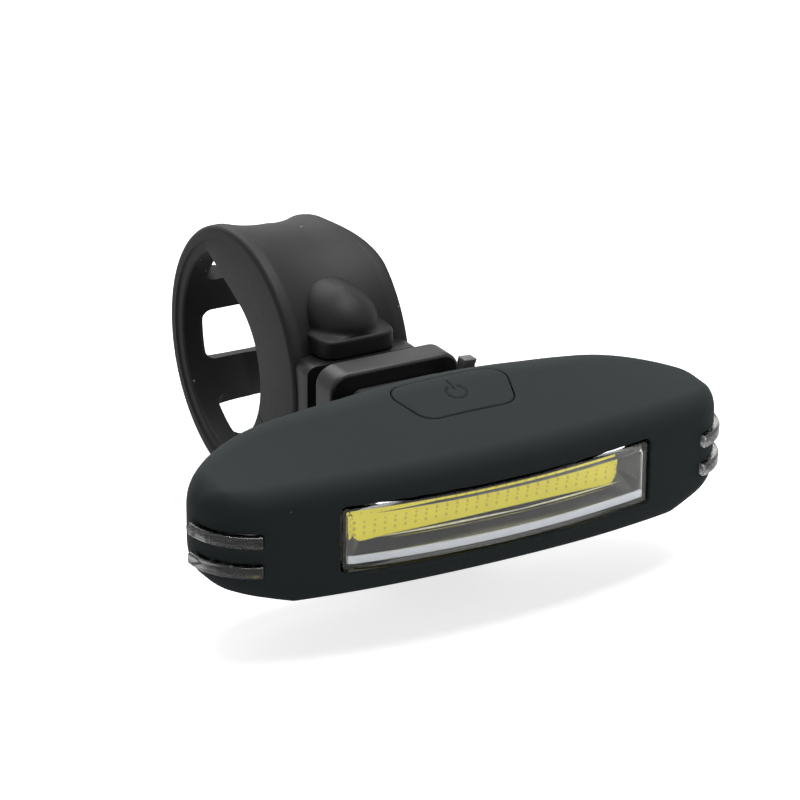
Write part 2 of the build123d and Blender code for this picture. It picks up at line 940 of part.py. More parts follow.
def case_shell():
    """Hard case inside the skin, before it is split into its two halves."""
    within = head_form(case_inset)
    supports = []
    for x in (-post_x, post_x):
        for side in (-1, 1):
            y = pcb_mid_y + side * post_pitch_y / 2
            for middle in (pcb_bottom_z - top_crest / 2, pcb_top_z + top_crest / 2):
                supports.append(Pos(x, y, middle) * Cylinder(post_radius, top_crest))
    for x in (-battery_length / 3, 0, battery_length / 3):
        supports.append(
            box_between(
                (x - rib_thickness / 2, battery_front, battery_low_z - top_crest),
                (x + rib_thickness / 2, battery_front + battery_depth, battery_low_z),
            )
        )
    shell = within - head_form(cavity_inset) + (Part() + supports & within)
    pocket = button_prism(2 * button_gap, 0, top_crest + overrun)
    cuts = [
        lens_block(seat_gap),
        reflector_outline(seat_gap),
        both_sides(end_window(seat_gap)),
        pocket - head_form(case_inset + 2 * button_travel),
        button_line(plunger_radius + swing_gap, 0, top_crest + overrun),
        usb_mouth(),
    ]
    for place in case_screw_places():
        cuts.append(place * screw_hole())
    for z in shoe_screw_heights():
        hole = Cylinder(shoe_screw_radius + seat_gap / 2, 2 * shoe_screw_length)
        cuts.append(facing_back(case_back, 0, z) * hole)
    shell -= cuts
    return shell


# Battery under the board, towards the head's front
battery_front = pcb_mid_y - battery_depth / 2
battery_low_z = pcb_bottom_z - battery_pad_inset - battery_height


def usb_mouth():
    """Opening of the socket in the case's back wall."""
    margin = usb_opening_margin
    half = usb_width / 2 + margin / 2
    middle = pcb_top_z + usb_height / 2
    return box_between(
        (usb_x - half, cavity_back - overrun, middle - usb_height / 2 - margin),
        (usb_x + half, head_back, middle + usb_height / 2 + margin),
    )


def case_screw_places():
    """Planes at the faces of the four case screws' heads, pointing up into the case."""
    places = []
    for x in (-post_x, post_x):
        for side in (-1, 1):
            y = pcb_mid_y + side * post_pitch_y / 2
            z = pcb_bottom_z - case_screw_length + pcb_thickness + 2 * case_screw_head_height
            places.append(Pos(x, y, z))
    return places


def screw_hole():
    """Space of a case screw and of its head's recess below it."""
    align = (Align.CENTER, Align.CENTER, Align.MIN)
    gap = seat_gap / 2
    head = Cone(
        case_screw_head + gap, case_screw_radius + gap, case_screw_head_height, align=align
    )
    shaft = Cylinder(case_screw_radius + gap, case_screw_length + seat_gap, align=align)
    recess = Cylinder(
        case_screw_head + gap, top_crest, align=(Align.CENTER, Align.CENTER, Align.MAX)
    )
    return head + shaft + recess


def make_case_screws():
    """Four screws that close the case."""
    body = screw(case_screw_head, case_screw_head_height, case_screw_radius, case_screw_length)
    return Compound(children=[place * body for place in case_screw_places()])


def make_upper_case():
    """Upper half of the hard case."""
    lift = head_mid_z + seat_gap / 2
    half = box_between(
        (-head_length, head_front - head_depth, lift),
        (head_length, head_back + head_depth, lift + 2 * top_crest),
    )
    return case_shell_once() & half


def make_lower_case():
    """Lower half of the hard case."""
    drop = head_mid_z - seat_gap / 2
    half = box_between(
        (-head_length, head_front - head_depth, drop - 2 * top_crest),
        (head_length, head_back + head_depth, drop),
    )
    return case_shell_once() & half


case_shells = []


def case_shell_once():
    """The case's shell, worked out the first time it is asked for."""
    if not case_shells:
        case_shells.append(case_shell())
    return case_shells[0]


def make_main_board():
    """Circuit board clamped between the case's posts."""
    board = box_between(
        (-pcb_length / 2, pcb_back - pcb_depth, pcb_bottom_z),
        (pcb_length / 2, pcb_back, pcb_top_z),
    )
    board = fillet(board.edges().filter_by(Axis.Z), battery_corner)
    for place in case_screw_places():
        board -= place * Cylinder(case_screw_radius + seat_gap / 2, 4 * case_screw_length)
    return board


def make_push_switch():
    """Housing of the push switch, with the hole its stem slides in."""
    low = (-switch_size / 2, switch_y - switch_size / 2, pcb_top_z)
    high = (switch_size / 2, switch_y + switch_size / 2, pcb_top_z + switch_height)
    housing = box_between(low, high)
    housing = chamfer(housing.edges().filter_by(Axis.Z), seat_gap * 8)
    reach = switch_top + overrun
    start = switch_top - 2 * stem_proud - 2 * button_travel
    return housing - button_line(stem_radius + stem_running_gap, start, reach)


# The switch stands where the button's line of travel meets the board
switch_y = button_centre_y - math.tan(math.radians(button_tilt)) * switch_top


def make_board_parts():
    """Chips and capacitors on the main board."""
    parts = []
    for x, y, length, depth, height in board_part_places():
        parts.append(
            box_between(
                (x - length / 2, y - depth / 2, pcb_top_z),
                (x + length / 2, y + depth / 2, pcb_top_z + height),
            )
        )
    return Compound(children=parts)


def board_part_places():
    """Middle, length, depth and height of each part on the board."""
    step = pcb_length / 14
    unit = pcb_thickness
    rows = []
    for index in range(4):
        x = step * (1.4 + index)
        rows.append((x, pcb_mid_y + 3 * unit, 2 * unit, 1.2 * unit, unit))
        rows.append((-x / 2 - step, pcb_mid_y - 4 * unit, 1.6 * unit, unit, unit))
    rows.append((step * 2.6, pcb_mid_y - 2 * unit, 5 * unit, 4 * unit, 1.5 * unit))
    rows.append((step * 4.6, pcb_mid_y - 2 * unit, 3 * unit, 3 * unit, 1.8 * unit))
    return rows


def make_battery():
    """Flat lithium cell under the board."""
    cell = box_between(
        (-battery_length / 2, battery_front, battery_low_z),
        (battery_length / 2, battery_front + battery_depth, battery_low_z + battery_height),
    )
    return fillet(cell.edges().filter_by(Axis.X), battery_corner)


def make_battery_pad():
    """Foam pad between the cell and the board."""
    inset = battery_pad_inset
    top = battery_low_z + battery_height
    return box_between(
        (-battery_length / 2 + inset, battery_front + inset, top),
        (battery_length / 2 - inset, battery_front + battery_depth - inset, pcb_bottom_z),
    )


def make_usb_socket():
    """Charging socket on the board's back edge, its mouth at the case's wall."""
    low = (usb_x - usb_width / 2, cavity_back - usb_length, pcb_top_z)
    high = (usb_x + usb_width / 2, cavity_back, pcb_top_z + usb_height)
    shell = box_between(low, high)
    shell = fillet(shell.edges().filter_by(Axis.Y), least_round)
    inner_low = (low[0] + usb_shell, low[1] + usb_length / 4, low[2] + usb_shell)
    inner_high = (high[0] - usb_shell, high[1] + overrun, high[2] - usb_shell)
    hollow = box_between(inner_low, inner_high)
    middle = pcb_top_z + usb_height / 2
    tongue = box_between(
        (usb_x - usb_width / 3, low[1] + usb_shell, middle - usb_tongue / 2),
        (usb_x + usb_width / 3, high[1] - usb_shell * 2, middle + usb_tongue / 2),
    )
    return shell - hollow + tongue


def make_usb_cover():
    """Rubber flap over the socket, thin at its hinge, with a stub on its inside."""
    skin = head_form(0) - head_form(cover_wall)
    flap = skin & usb_space(0)
    top = flap_low_z + flap_height
    flap -= box_between(
        (usb_x - flap_width, head_back - head_depth, top - flap_hinge_strip),
        (usb_x + flap_width, head_back - flap_thin, top + overrun),
    )
    middle = pcb_top_z + usb_height / 2
    stub = box_between(
        (
            usb_x - flap_stub_width / 2,
            case_back - flap_stub_depth,
            middle - flap_stub_height / 2 - seat_gap,
        ),
        (
            usb_x + flap_stub_width / 2,
            head_back - flap_thin,
            middle + flap_stub_height / 2 - seat_gap,
        ),
    )
    return flap + stub


def make_side_lights(side):
    """Pair of small lights at one end of the board."""
    lights = []
    for step in (-1, 1):
        x = side * (pcb_length / 2 - side_led_width / 2)
        y = pcb_mid_y + step * side_led_pitch / 2
        lights.append(
            box_between(
                (x - side_led_width / 2, y - side_led_length / 2, pcb_top_z),
                (x + side_led_width / 2, y + side_led_length / 2, pcb_top_z + side_led_height),
            )
        )
    return Compound(children=lights)


def shoe_block(gap):
    """Outer block of the shoe, grown by gap for its opening in the skin."""
    width = shoe_width + 2 * gap
    height = shoe_top - shoe_bottom + 2 * gap
    middle = (shoe_top + shoe_bottom) / 2
    outline = RectangleRounded(width, height, shoe_corner)
    return extrude(facing_back(case_back, 0, middle) * outline, amount=shoe_front - case_back)


def shoe_screw_heights():
    """Heights of the two screws of the shoe."""
    middle = block_centre_z
    return (middle - shoe_screw_pitch / 2, middle + shoe_screw_pitch / 2)


def make_rail_shoe():
    """Channel on the back of the head that slides down over the block's rail."""
    shoe = shoe_block(0)
    half = rail_flange_width / 2 + slide_gap
    shoe -= box_between(
        (-half, pocket_front, shoe_bottom - overrun),
        (half, block_front - rail_stem_length + slide_gap, rail_top + seat_gap),
    )
    stem_half = rail_stem_width / 2 + slide_gap
    shoe -= box_between(
        (-stem_half, pocket_front, shoe_bottom - overrun),
        (stem_half, shoe_front + overrun, rail_top + seat_gap),
    )
    nose_z = lever_pivot_z - lever_nose_drop
    shoe -= box_between(
        (shoe_width / 2 - shoe_notch_depth, lever_front - slide_gap, nose_z - slide_gap),
        (shoe_width, lever_back + slide_gap, nose_z + lever_nose_height + slide_gap),
    )
    align = (Align.CENTER, Align.CENTER, Align.MIN)
    gap = seat_gap / 2
    for z in shoe_screw_heights():
        hole = Cylinder(shoe_screw_radius + gap, 2 * shoe_screw_length)
        sink = Cone(
            shoe_screw_head + gap, shoe_screw_radius + gap, shoe_screw_head_height, align=align
        )
        shoe -= facing_front(pocket_front, z) * sink
        shoe -= facing_back(case_back, 0, z) * hole
    return shoe


def facing_front(y, z):
    """Plane at y whose normal is -Y."""
    return Plane(origin=(0, y, z), x_dir=(1, 0, 0), z_dir=(0, -1, 0))


def make_shoe_screws():
    """Two screws that hold the shoe to the case."""
    body = screw(shoe_screw_head, shoe_screw_head_height, shoe_screw_radius, shoe_screw_length)
    return Compound(children=[facing_front(pocket_front, z) * body for z in shoe_screw_heights()])


def main():
    """Write every node."""
    window = make_end_window()
    nodes = {
        "strap": make_strap(),
        "strap_tail": make_strap_tail(),
        "mount_base": make_mount_base(),
        "mount_block": make_mount_block(),
        "bracket_screw": make_bracket_screw(),
        "release_lever": make_release_lever(),
        "lever_pin": make_lever_pin(),
        "lever_spring": make_lever_spring(),
        "silicone_cover": make_silicone_cover(),
        "upper_case": make_upper_case(),
        "lower_case": make_lower_case(),
        "case_screws": make_case_screws(),
        "front_lens": make_front_lens(),
        "reflector": make_reflector(),
        "light_board": make_light_board(),
        "light_strip": make_light_strip(),
        "right_window": window,
        "left_window": mirror(window, Plane.YZ),
        "main_board": make_main_board(),
        "board_parts": make_board_parts(),
        "push_switch": make_push_switch(),
        "switch_stem": make_switch_stem(),
        "button_plunger": make_button_plunger(),
        "power_button": make_power_button(),
        "battery_cell": make_battery(),
        "battery_pad": make_battery_pad(),
        "usb_socket": make_usb_socket(),
        "usb_cover": make_usb_cover(),
        "right_side_lights": make_side_lights(1),
        "left_side_lights": make_side_lights(-1),
        "rail_shoe": make_rail_shoe(),
        "shoe_screws": make_shoe_screws(),
    }
    for name, shape in nodes.items():
        export_step(shape, f"parts/{name}.step")


main()
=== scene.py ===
import json
import math

import bmesh
import bpy
import numpy as np
from mathutils import Matrix, Vector


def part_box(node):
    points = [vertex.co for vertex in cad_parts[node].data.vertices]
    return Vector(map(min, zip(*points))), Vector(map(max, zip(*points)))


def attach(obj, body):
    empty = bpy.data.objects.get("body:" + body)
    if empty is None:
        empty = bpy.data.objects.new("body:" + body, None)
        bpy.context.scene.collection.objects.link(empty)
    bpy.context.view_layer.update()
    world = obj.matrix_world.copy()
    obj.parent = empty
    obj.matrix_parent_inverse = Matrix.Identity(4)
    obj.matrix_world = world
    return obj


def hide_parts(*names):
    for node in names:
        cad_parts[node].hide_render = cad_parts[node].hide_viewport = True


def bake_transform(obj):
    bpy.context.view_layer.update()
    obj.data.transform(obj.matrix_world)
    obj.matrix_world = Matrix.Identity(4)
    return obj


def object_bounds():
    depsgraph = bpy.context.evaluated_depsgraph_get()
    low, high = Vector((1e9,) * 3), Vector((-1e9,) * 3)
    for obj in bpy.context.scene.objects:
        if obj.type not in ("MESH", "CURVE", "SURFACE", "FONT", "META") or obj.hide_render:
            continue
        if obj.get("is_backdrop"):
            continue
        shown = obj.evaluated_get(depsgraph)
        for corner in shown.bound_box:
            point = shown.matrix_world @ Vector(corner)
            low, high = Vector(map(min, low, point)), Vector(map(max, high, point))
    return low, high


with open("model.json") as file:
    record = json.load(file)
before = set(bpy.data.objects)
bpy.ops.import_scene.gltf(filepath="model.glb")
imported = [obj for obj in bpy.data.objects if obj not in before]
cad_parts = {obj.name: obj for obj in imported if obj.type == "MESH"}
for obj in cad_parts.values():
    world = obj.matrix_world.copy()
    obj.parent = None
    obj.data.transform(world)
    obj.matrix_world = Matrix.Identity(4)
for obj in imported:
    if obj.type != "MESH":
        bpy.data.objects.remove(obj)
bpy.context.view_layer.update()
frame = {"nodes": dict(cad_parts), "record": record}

bl_info = {
    "name": "Bicycle headlight on a ladder strap",
    "version": (1, 0, 0),
    "blender": (4, 5, 0),
    "location": "View3D > Sidebar > Headlight",
    "description": "Builds the visible surfaces of a slim bicycle headlight round its CAD frame",
    "category": "Object",
}

MM = 0.001
NODES = frame["nodes"]
# The head's front and back come from the bounds of its CAD skin
SKIN_LOW, SKIN_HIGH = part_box("silicone_cover")


# Sizes and colours


def size(name, description, millimetres):
    """Length property given in millimetres and kept in metres."""
    return bpy.props.FloatProperty(
        name=name, description=description, default=millimetres * MM, unit="LENGTH", precision=5
    )


def turn(name, description, degrees):
    """Angle property given in degrees and kept in radians."""
    return bpy.props.FloatProperty(
        name=name, description=description, default=math.radians(degrees), unit="ROTATION"
    )


def share(name, description, value):
    """Plain number between 0 and 1."""
    return bpy.props.FloatProperty(name=name, description=description, default=value, min=0, max=1)


def linear(values):
    """Linear colour of an sRGB colour given as three numbers up to 255."""
    part = np.array(values) / 255
    return np.where(part <= 0.04045, part / 12.92, ((part + 0.055) / 1.055) ** 2.4)


def colour(name, description, red, green, blue):
    """Colour property given as sRGB numbers up to 255 and kept linear."""
    return bpy.props.FloatVectorProperty(
        name=name,
        description=description,
        default=tuple(float(part) for part in linear((red, green, blue))),
        subtype="COLOR",
        min=0,
        max=1,
    )


class HeadSizes(bpy.types.PropertyGroup):
    length: size("Length", "Length of the head along the handlebar", 86.9)
    mid_z: size("Middle height", "Height of the parting line over the handlebar's axis", -1.4)
    front_radius: size("Front radius", "Radius of the bowed front in plan", 125)
    end_radius: size("End radius", "Radius of each end in plan", 9.5)
    shoulder: size("Shoulder radius", "Radius from each end to the straight back", 20)
    top_crest: size("Top crest", "Height of the top over the middle", 14.9)
    bottom_crest: size("Bottom crest", "Depth of the bottom under the middle", 12.8)
    front_half_height: size("Front half height", "Half of the front's height", 10)
    low_half_height: size("Low half height", "Depth of the front's lower edge at the middle", 7.5)
    low_share: share("Low share", "Share of the crest's fall that the lower edge gains", 0.45)
    end_fall: size("End fall", "How far the crests fall at the head's ends", 6.8)
    front_fall: share("Front fall", "Share of the crest's fall that the front has", 0.3)
    front_round: size("Front round", "Radius of the front's upper and lower edges", 3.4)
    back_round: size("Back round", "Radius of the back's upper and lower edges", 9)
    tip_round: size("Tip round", "Radius of the ends' upper and lower edges", 3.2)
    wall: size("Skin wall", "Thickness of the soft skin", 1.6)
    lip: size("Lip round", "Radius of the skin's edges at its openings", 0.35)
    seam_width: size("Seam width", "Width of the parting line's ridge", 0.16)
    seam_height: size("Seam height", "Height of the parting line's ridge", 0.05)


class LensSizes(bpy.types.PropertyGroup):
    length: size("Length", "Length of the lens", 52)
    height: size("Height", "Height of the lens", 10.4)
    mid_z: size("Middle height", "Height of the lens's middle", -1.0)
    proud: size("Proud", "How far the lens stands out of the head", 0.6)
    bevel: size("Bevel", "Width of the bevel round the lens's front", 1.2)
    wall: size("Wall", "Thickness of the lens", 1.3)
    corner: size("Corner", "Radius of the lens's corners", 1.0)
    seat: size("Seat", "Gap between the lens and the skin", 0.1)
    strip_length: size("Strip length", "Length of the yellow strip", 45)
    strip_height: size("Strip height", "Height of the yellow strip", 6.4)
    strip_lift: size("Strip lift", "Height of the strip's middle over the lens's middle", 0.7)
    strip_corner: size("Strip corner", "Radius of the strip's corners", 1.9)
    # The pale rail is a painted reflection: a white bar where the lens's lower bevel mirrors the
    # light
    reflection_rail_height: size("Rail height", "Height of the pale rail under the strip", 1.15)
    reflection_rail_low: size("Rail low", "Depth of the rail's lower edge under the lens's middle", 3.8)
    strip_crown: size("Strip crown", "How far the strip's middle stands out", 0.25)


class ButtonSizes(bpy.types.PropertyGroup):
    centre_y: size("Centre", "Place of the button's middle along the beam", -53.3)
    tilt: turn("Tilt", "Slope of the button", 8)
    back_width: size("Back width", "Width of the button's back edge", 21.4)
    front_width: size("Front width", "Width of the button's front edge", 15)
    depth: size("Depth", "Depth of the button", 9.6)
    corner: size("Corner", "Radius of the button's corners", 3)
    gap: size("Gap", "Width of the groove round the button", 0.16)
    edge: size("Edge round", "Radius of the button's edge", 0.3)
    sign_radius: size("Sign radius", "Radius of the power sign's ring", 1.55)
    sign_width: size("Sign width", "Width of the power sign's line", 0.36)
    sign_depth: size("Sign depth", "Depth of the engraved power sign", 0.22)


class WindowSizes(bpy.types.PropertyGroup):
    front_angle: turn("Front angle", "Where the end window starts, from straight sideways", -70)
    back_angle: turn("Back angle", "Where the end window ends", 1)
    proud: size("Proud", "How far the ribs stand out of the skin", 0.9)
    rib_height: size("Rib height", "Height of each rib", 1.9)
    rib_gap: size("Rib gap", "Skin between the two ribs", 2.7)
    rib_drop: size("Rib drop", "How far the ribs lie under the parting line", 0.5)
    seat: size("Seat", "Gap between a rib and the skin", 0.05)


class StrapSizes(bpy.types.PropertyGroup):
    bar_radius: size("Bar radius", "Radius of the handlebar", 12.7)
    width: size("Width", "Width of the strap", 20.5)
    centre_y: size("Centre forward", "Place of the ring's centre along the beam", -3.9)
    centre_z: size("Centre up", "Height of the ring's centre", 1.6)
    inner_radius: size("Inner radius", "Inside radius of the ring", 17)
    rim_radius: size("Rim radius", "Radius of the two rims", 21)
    valley_radius: size("Valley radius", "Radius of the hollow band's middle", 19.7)
    rim_crest: size("Rim crest", "Width of each rim's top", 1.1)
    rim_round: size("Rim round", "Radius of the rims' outer edges", 0.9)
    inner_round: size("Inner round", "Radius of the strap's inner edges", 0.5)
    step_depth: size("Step depth", "Depth of the step in the strap's side faces", 0.3)
    step_radius: size("Step radius", "Radius at which the side faces step", 18.9)
    saddle_angle: turn("Saddle angle", "Half of the angle that the saddle covers", 62)
    slot_width: size("Slot width", "Width of the strap's slots", 12.6)
    slot_length: size("Slot length", "Length of the strap's slots", 8)
    slot_corner: size("Slot corner", "Radius of the slots' corners", 1.5)
    slot_lip: size("Slot lip", "Radius of the slots' edges", 0.4)
    first_slot: turn("First slot", "Angle of the upper slot from straight back", 38)
    slot_pitch: turn("Slot pitch", "Angle between two slots", 47)
    seam_angle: turn("Seam angle", "Where the tail's piece starts", -69)
    tail_end: turn("Tail end", "Where the tail ends", -143)
    tail_gap: turn("Tail gap", "Angle between the tail's end and the ring", 0.8)
    lean: share("Lean", "Share by which the right rim draws in away from the saddle", 0.28)
    slack: size("Slack", "How far the right rim sinks there", 1.1)


class HoodSizes(bpy.types.PropertyGroup):
    half_width: size("Half width", "Half of the hood's width at its lip", 6.6)
    dome_half_width: size("Dome half width", "Half of the dome's width at its foot", 6.1)
    lip_front: size("Lip front", "Place of the lip's front along the beam", -27.4)
    dome_front: size("Dome front", "Place of the dome's foot along the beam", -26.9)
    apex_front: size("Apex", "Place of the dome's top along the beam", -21.4)
    low: size("Low", "Height of the lip's underside", 8.6)
    lip_top: size("Lip top", "Height of the lip's upper edge", 11.4)
    foot: size("Foot", "Height at which the dome leaves the lip", 12.2)
    apex: size("Apex height", "Height of the dome's top", 17.3)
    buried: size("Buried", "Place inside the band where the hood ends", -16.6)


class Colours(bpy.types.PropertyGroup):
    silicone: colour("Silicone", "Soft skin of the head", 37, 41, 42)
    rubber: colour("Rubber", "Strap", 22, 22, 23)
    gloss: colour("Gloss black", "Block and base between strap and head", 12, 12, 13)
    lever: colour("Lever", "Release lever", 66, 65, 63)
    plastic: colour("Case plastic", "Hard case and shoe", 34, 35, 36)
    phosphor: colour("Phosphor", "Yellow strip", 228, 214, 58)
    bond: colour("Bond dots", "Bond marks in the strip", 186, 158, 60)
    # Reflector white also colours the pale rail under the strip, which is a painted reflection of
    # the light in the lens's lower bevel
    white: colour("Reflector white", "Reflector and the rail under the strip", 222, 225, 230)
    board: colour("Board green", "Circuit board", 30, 84, 58)
    steel: colour("Steel", "Screws and pin", 190, 190, 188)
    floor: colour("Floor", "Pale floor", 205, 205, 205)


class ViewSettings(bpy.types.PropertyGroup):
    azimuth: turn("Azimuth", "Camera's angle from straight ahead of the light", -31.7)
    elevation: turn("Elevation", "Camera's angle over the floor", 24)
    roll: turn("Roll", "Turn of the picture", 1.06)
    distance: size("Distance", "Camera's distance from the lens", 579)
    focal: bpy.props.FloatProperty(
        name="Focal length", description="In pixels of the 800 pixel frame", default=4000
    )
    frame_width: bpy.props.FloatProperty(
        name="Frame width", description="Width of the frame in pixels", default=800
    )
    across: bpy.props.FloatProperty(
        name="Across",
        description="Lens's place right of the frame's middle, in pixels",
        default=98.2,
    )
    down: bpy.props.FloatProperty(
        name="Down",
        description="Lens's place below the frame's middle, in pixels",
        default=105.6,
    )
    sensor: size("Sensor", "Width of the camera's sensor", 36)


GROUPS = {
    "headlight_head": HeadSizes,
    "headlight_lens": LensSizes,
    "headlight_button": ButtonSizes,
    "headlight_window": WindowSizes,
    "headlight_strap": StrapSizes,
    "headlight_hood": HoodSizes,
    "headlight_colours": Colours,
    "headlight_view": ViewSettings,
}


# Meshes


def quads(rows, columns, close_rows):
    """Corner numbers of every face in a grid whose columns join up, and whose rows may."""
    row = np.arange(rows if close_rows else rows - 1)
    row, column = np.meshgrid(row, np.arange(columns), indexing="ij")
    next_row = (row + 1) % rows
    next_column = (column + 1) % columns
    corners = (
        row * columns + column,
        next_row * columns + column,
        next_row * columns + next_column,
        row * columns + next_column,
    )
    return np.stack(corners, axis=-1).reshape(-1, 4)


def solid(name, grid, close_rows=False):
    """Closed mesh of a (rows, columns, 3) grid whose columns join up.

    Its end rows are capped, or join up as well.
    """
    rows, columns = grid.shape[:2]
    faces = quads(rows, columns, close_rows).tolist()
    if not close_rows:
        faces.append(list(range(columns)))
        faces.append(list(range((rows - 1) * columns, rows * columns))[::-1])
    mesh = bpy.data.meshes.new(name)
    mesh.from_pydata(grid.reshape(-1, 3).tolist(), [], faces)
    clean(mesh)
    return new_object(name, mesh)


def new_object(name, data):
    """Object of a mesh, light or camera, in the scene."""
    piece = bpy.data.objects.new(name, data)
    bpy.context.scene.collection.objects.link(piece)
    return piece


def clean(mesh):
    """Merge doubled points, drop empty faces and turn a closed mesh the right way out."""
    work = bmesh.new()
    work.from_mesh(mesh)
    bmesh.ops.remove_doubles(work, verts=work.verts, dist=MERGE_REACH)
    bmesh.ops.dissolve_degenerate(work, edges=work.edges, dist=MERGE_REACH)
    if work.calc_volume(signed=True) < 0:
        bmesh.ops.reverse_faces(work, faces=work.faces)
    work.to_mesh(mesh)
    work.free()


MERGE_REACH = 1e-7


def join(name, pieces):
    """One piece from several, which are deleted."""
    work = bmesh.new()
    for piece in pieces:
        work.from_mesh(piece.data)
        bpy.data.objects.remove(piece)
    mesh = bpy.data.meshes.new(name)
    work.to_mesh(mesh)
    work.free()
    return new_object(name, mesh)


def flip(piece):
    """Turn a piece's faces round, for the inner wall of a shell."""
    piece.data.flip_normals()
    return piece


def carve(piece, cutters):
    """Cut all cutters out of the piece in one exact boolean, and delete them."""
    group = bpy.data.collections.new("cutters")
    bpy.context.scene.collection.children.link(group)
    for cutter in cutters:
        group.objects.link(cutter)
    modifier = piece.modifiers.new("carve", "BOOLEAN")
    modifier.operation = "DIFFERENCE"
    modifier.solver = "EXACT"
    modifier.operand_type = "COLLECTION"
    modifier.collection = group
    settle(piece)
    for cutter in cutters:
        bpy.data.objects.remove(cutter)
    bpy.data.collections.remove(group)


def settle(piece):
    """Apply every modifier of a piece to its mesh."""
    bpy.context.view_layer.update()
    graph = bpy.context.evaluated_depsgraph_get()
    mesh = bpy.data.meshes.new_from_object(piece.evaluated_get(graph))
    piece.modifiers.clear()
    piece.data = mesh


def smooth(piece, degrees):
    """Shade a piece smooth, with sharp edges where faces meet at more than the angle."""
    mesh = piece.data
    mesh.polygons.foreach_set("use_smooth", np.ones(len(mesh.polygons), dtype=bool))
    mesh.set_sharp_from_angle(angle=math.radians(degrees))
    return piece


def spaced(breaks, steps):
    """Numbers from the first break to the last, with a step of its own in each span."""
    runs = []
    for low, high, step in zip(breaks, breaks[1:], steps):
        count = max(1, round((high - low) / step))
        runs.append(np.linspace(low, high, count, endpoint=False))
    return np.concatenate(runs + [np.array([breaks[-1]])])


# Outlines and distances


def unit(vectors):
    """Vectors of length one along the last axis."""
    return vectors / np.linalg.norm(vectors, axis=-1, keepdims=True)


def corner_round(corners, radii, index):
    """Centre, ends and sweep of the arc that rounds one corner, for every station at once.

    The centre lies on the corner's bisector, at radius over the sine of half the corner's angle.
    """
    count = corners.shape[-2]
    corner = corners[..., index, :]
    to_last = unit(corners[..., index - 1, :] - corner)
    to_next = unit(corners[..., (index + 1) % count, :] - corner)
    half = np.arccos(np.clip(np.sum(to_last * to_next, axis=-1), -1, 1))[..., None] / 2
    radius = radii[..., index, None]
    centre = corner + unit(to_last + to_next) * radius / np.sin(half)
    reach = radius / np.tan(half)
    return centre, corner + to_last * reach, corner + to_next * reach, math.pi - 2 * half


def rounded_outline(corners, radii, arc_steps, line_steps):
    """Points round a polygon with rounded corners, for every station at once.

    Each arc is walked evenly from one tangent point to the next, and straight runs join the arcs.
    """
    count = corners.shape[-2]
    rounds = [corner_round(corners, radii, index) for index in range(count)]
    points = []
    for index in range(count):
        centre, start, end, sweep = rounds[index]
        last_end = rounds[index - 1][2]
        along = np.linspace(0, 1, line_steps[index] + 2)[1:-1, None]
        points.append(last_end[..., None, :] * (1 - along) + start[..., None, :] * along)
        part = np.linspace(0, 1, arc_steps[index])[:, None]
        angle = sweep[..., None, :]
        first = (start - centre)[..., None, :]
        second = (end - centre)[..., None, :]
        turned = np.sin((1 - part) * angle) * first + np.sin(part * angle) * second
        points.append(centre[..., None, :] + turned / np.sin(angle))
    return np.concatenate(points, axis=-2)


def outline_distance(points, corners, radius):
    """Distance of 2-D points from a rounded polygon, less than 0 inside.

    It is the distance to the polygon of the rounds' centres, less the radius.
    """
    corners = np.asarray(corners, float)
    radii = np.full(len(corners), radius)
    centres = np.array([corner_round(corners, radii, i)[0] for i in range(len(corners))])
    nearest = np.full(points.shape[:-1], np.inf)
    outside = np.zeros(points.shape[:-1], bool)
    turn_way = np.sign(np.cross(corners[1] - corners[0], corners[2] - corners[1]))
    for a, b in zip(centres, np.roll(centres, -1, axis=0)):
        edge = b - a
        away = points - a
        along = np.clip(away @ edge / (edge @ edge), 0, 1)[..., None]
        nearest = np.minimum(nearest, np.linalg.norm(away - along * edge, axis=-1))
        outside |= turn_way * (edge[0] * away[..., 1] - edge[1] * away[..., 0]) < 0
    return np.where(outside, nearest, -nearest) - radius


def rectangle(half_width, half_height, centre=(0, 0)):
    """Corners of a rectangle about its centre, counterclockwise."""
    signs = np.array([(-1, -1), (1, -1), (1, 1), (-1, 1)])
    return signs * (half_width, half_height) + np.array(centre)


def lip_fall(distance, radius):
    """How far a surface falls at a rounded edge: a quarter circle that ends at the opening."""
    inside = np.clip(radius - distance, 0, radius)
    return radius - np.sqrt(np.maximum(radius**2 - inside**2, 0))


def surface_normals(grid):
    """Normals of a grid from the cross product of its two directions."""
    across = np.gradient(grid, axis=0)
    around = np.roll(grid, -1, axis=1) - np.roll(grid, 1, axis=1)
    normals = np.cross(across, around)
    lengths = np.linalg.norm(normals, axis=-1, keepdims=True)
    return normals / np.maximum(lengths, LEAST_LENGTH)


LEAST_LENGTH = 1e-12


# Head form


def plan_limits(head, x, inset):
    """Front and back of the head's plan at x.

    A flat arc runs along the front, a small one round the end, and a wide shoulder's arc from
    the end to the straight back. Each arc meets the next in a common tangent.
    """
    front_centre = SKIN_LOW.y + head.front_radius
    end_x, end_y = end_centre(head)
    front_r = head.front_radius - inset
    end_r = head.end_radius - inset
    join_x = end_x * front_r / (head.front_radius - head.end_radius)
    x = np.abs(x)
    round_end = np.sqrt(np.maximum(end_r**2 - (x - end_x) ** 2, 0))
    front = np.where(x <= join_x, front_centre - np.sqrt(front_r**2 - x**2), end_y - round_end)
    reach = head.shoulder - head.end_radius
    shoulder_y = SKIN_HIGH.y - head.shoulder
    shoulder_x = end_x - math.sqrt(reach**2 - (end_y - shoulder_y) ** 2)
    shoulder_r = head.shoulder - inset
    arc = shoulder_y + np.sqrt(np.maximum(shoulder_r**2 - (x - shoulder_x) ** 2, 0))
    back = np.where(x <= shoulder_x, SKIN_HIGH.y - inset, arc)
    past = x > shoulder_x + shoulder_r * (end_x - shoulder_x) / reach
    return front, np.where(past, end_y + round_end, back)


def end_centre(head):
    """Centre of the right end's round in plan."""
    front_centre = SKIN_LOW.y + head.front_radius
    end_x = head.length / 2 - head.end_radius
    return end_x, front_centre - math.sqrt((head.front_radius - head.end_radius) ** 2 - end_x**2)


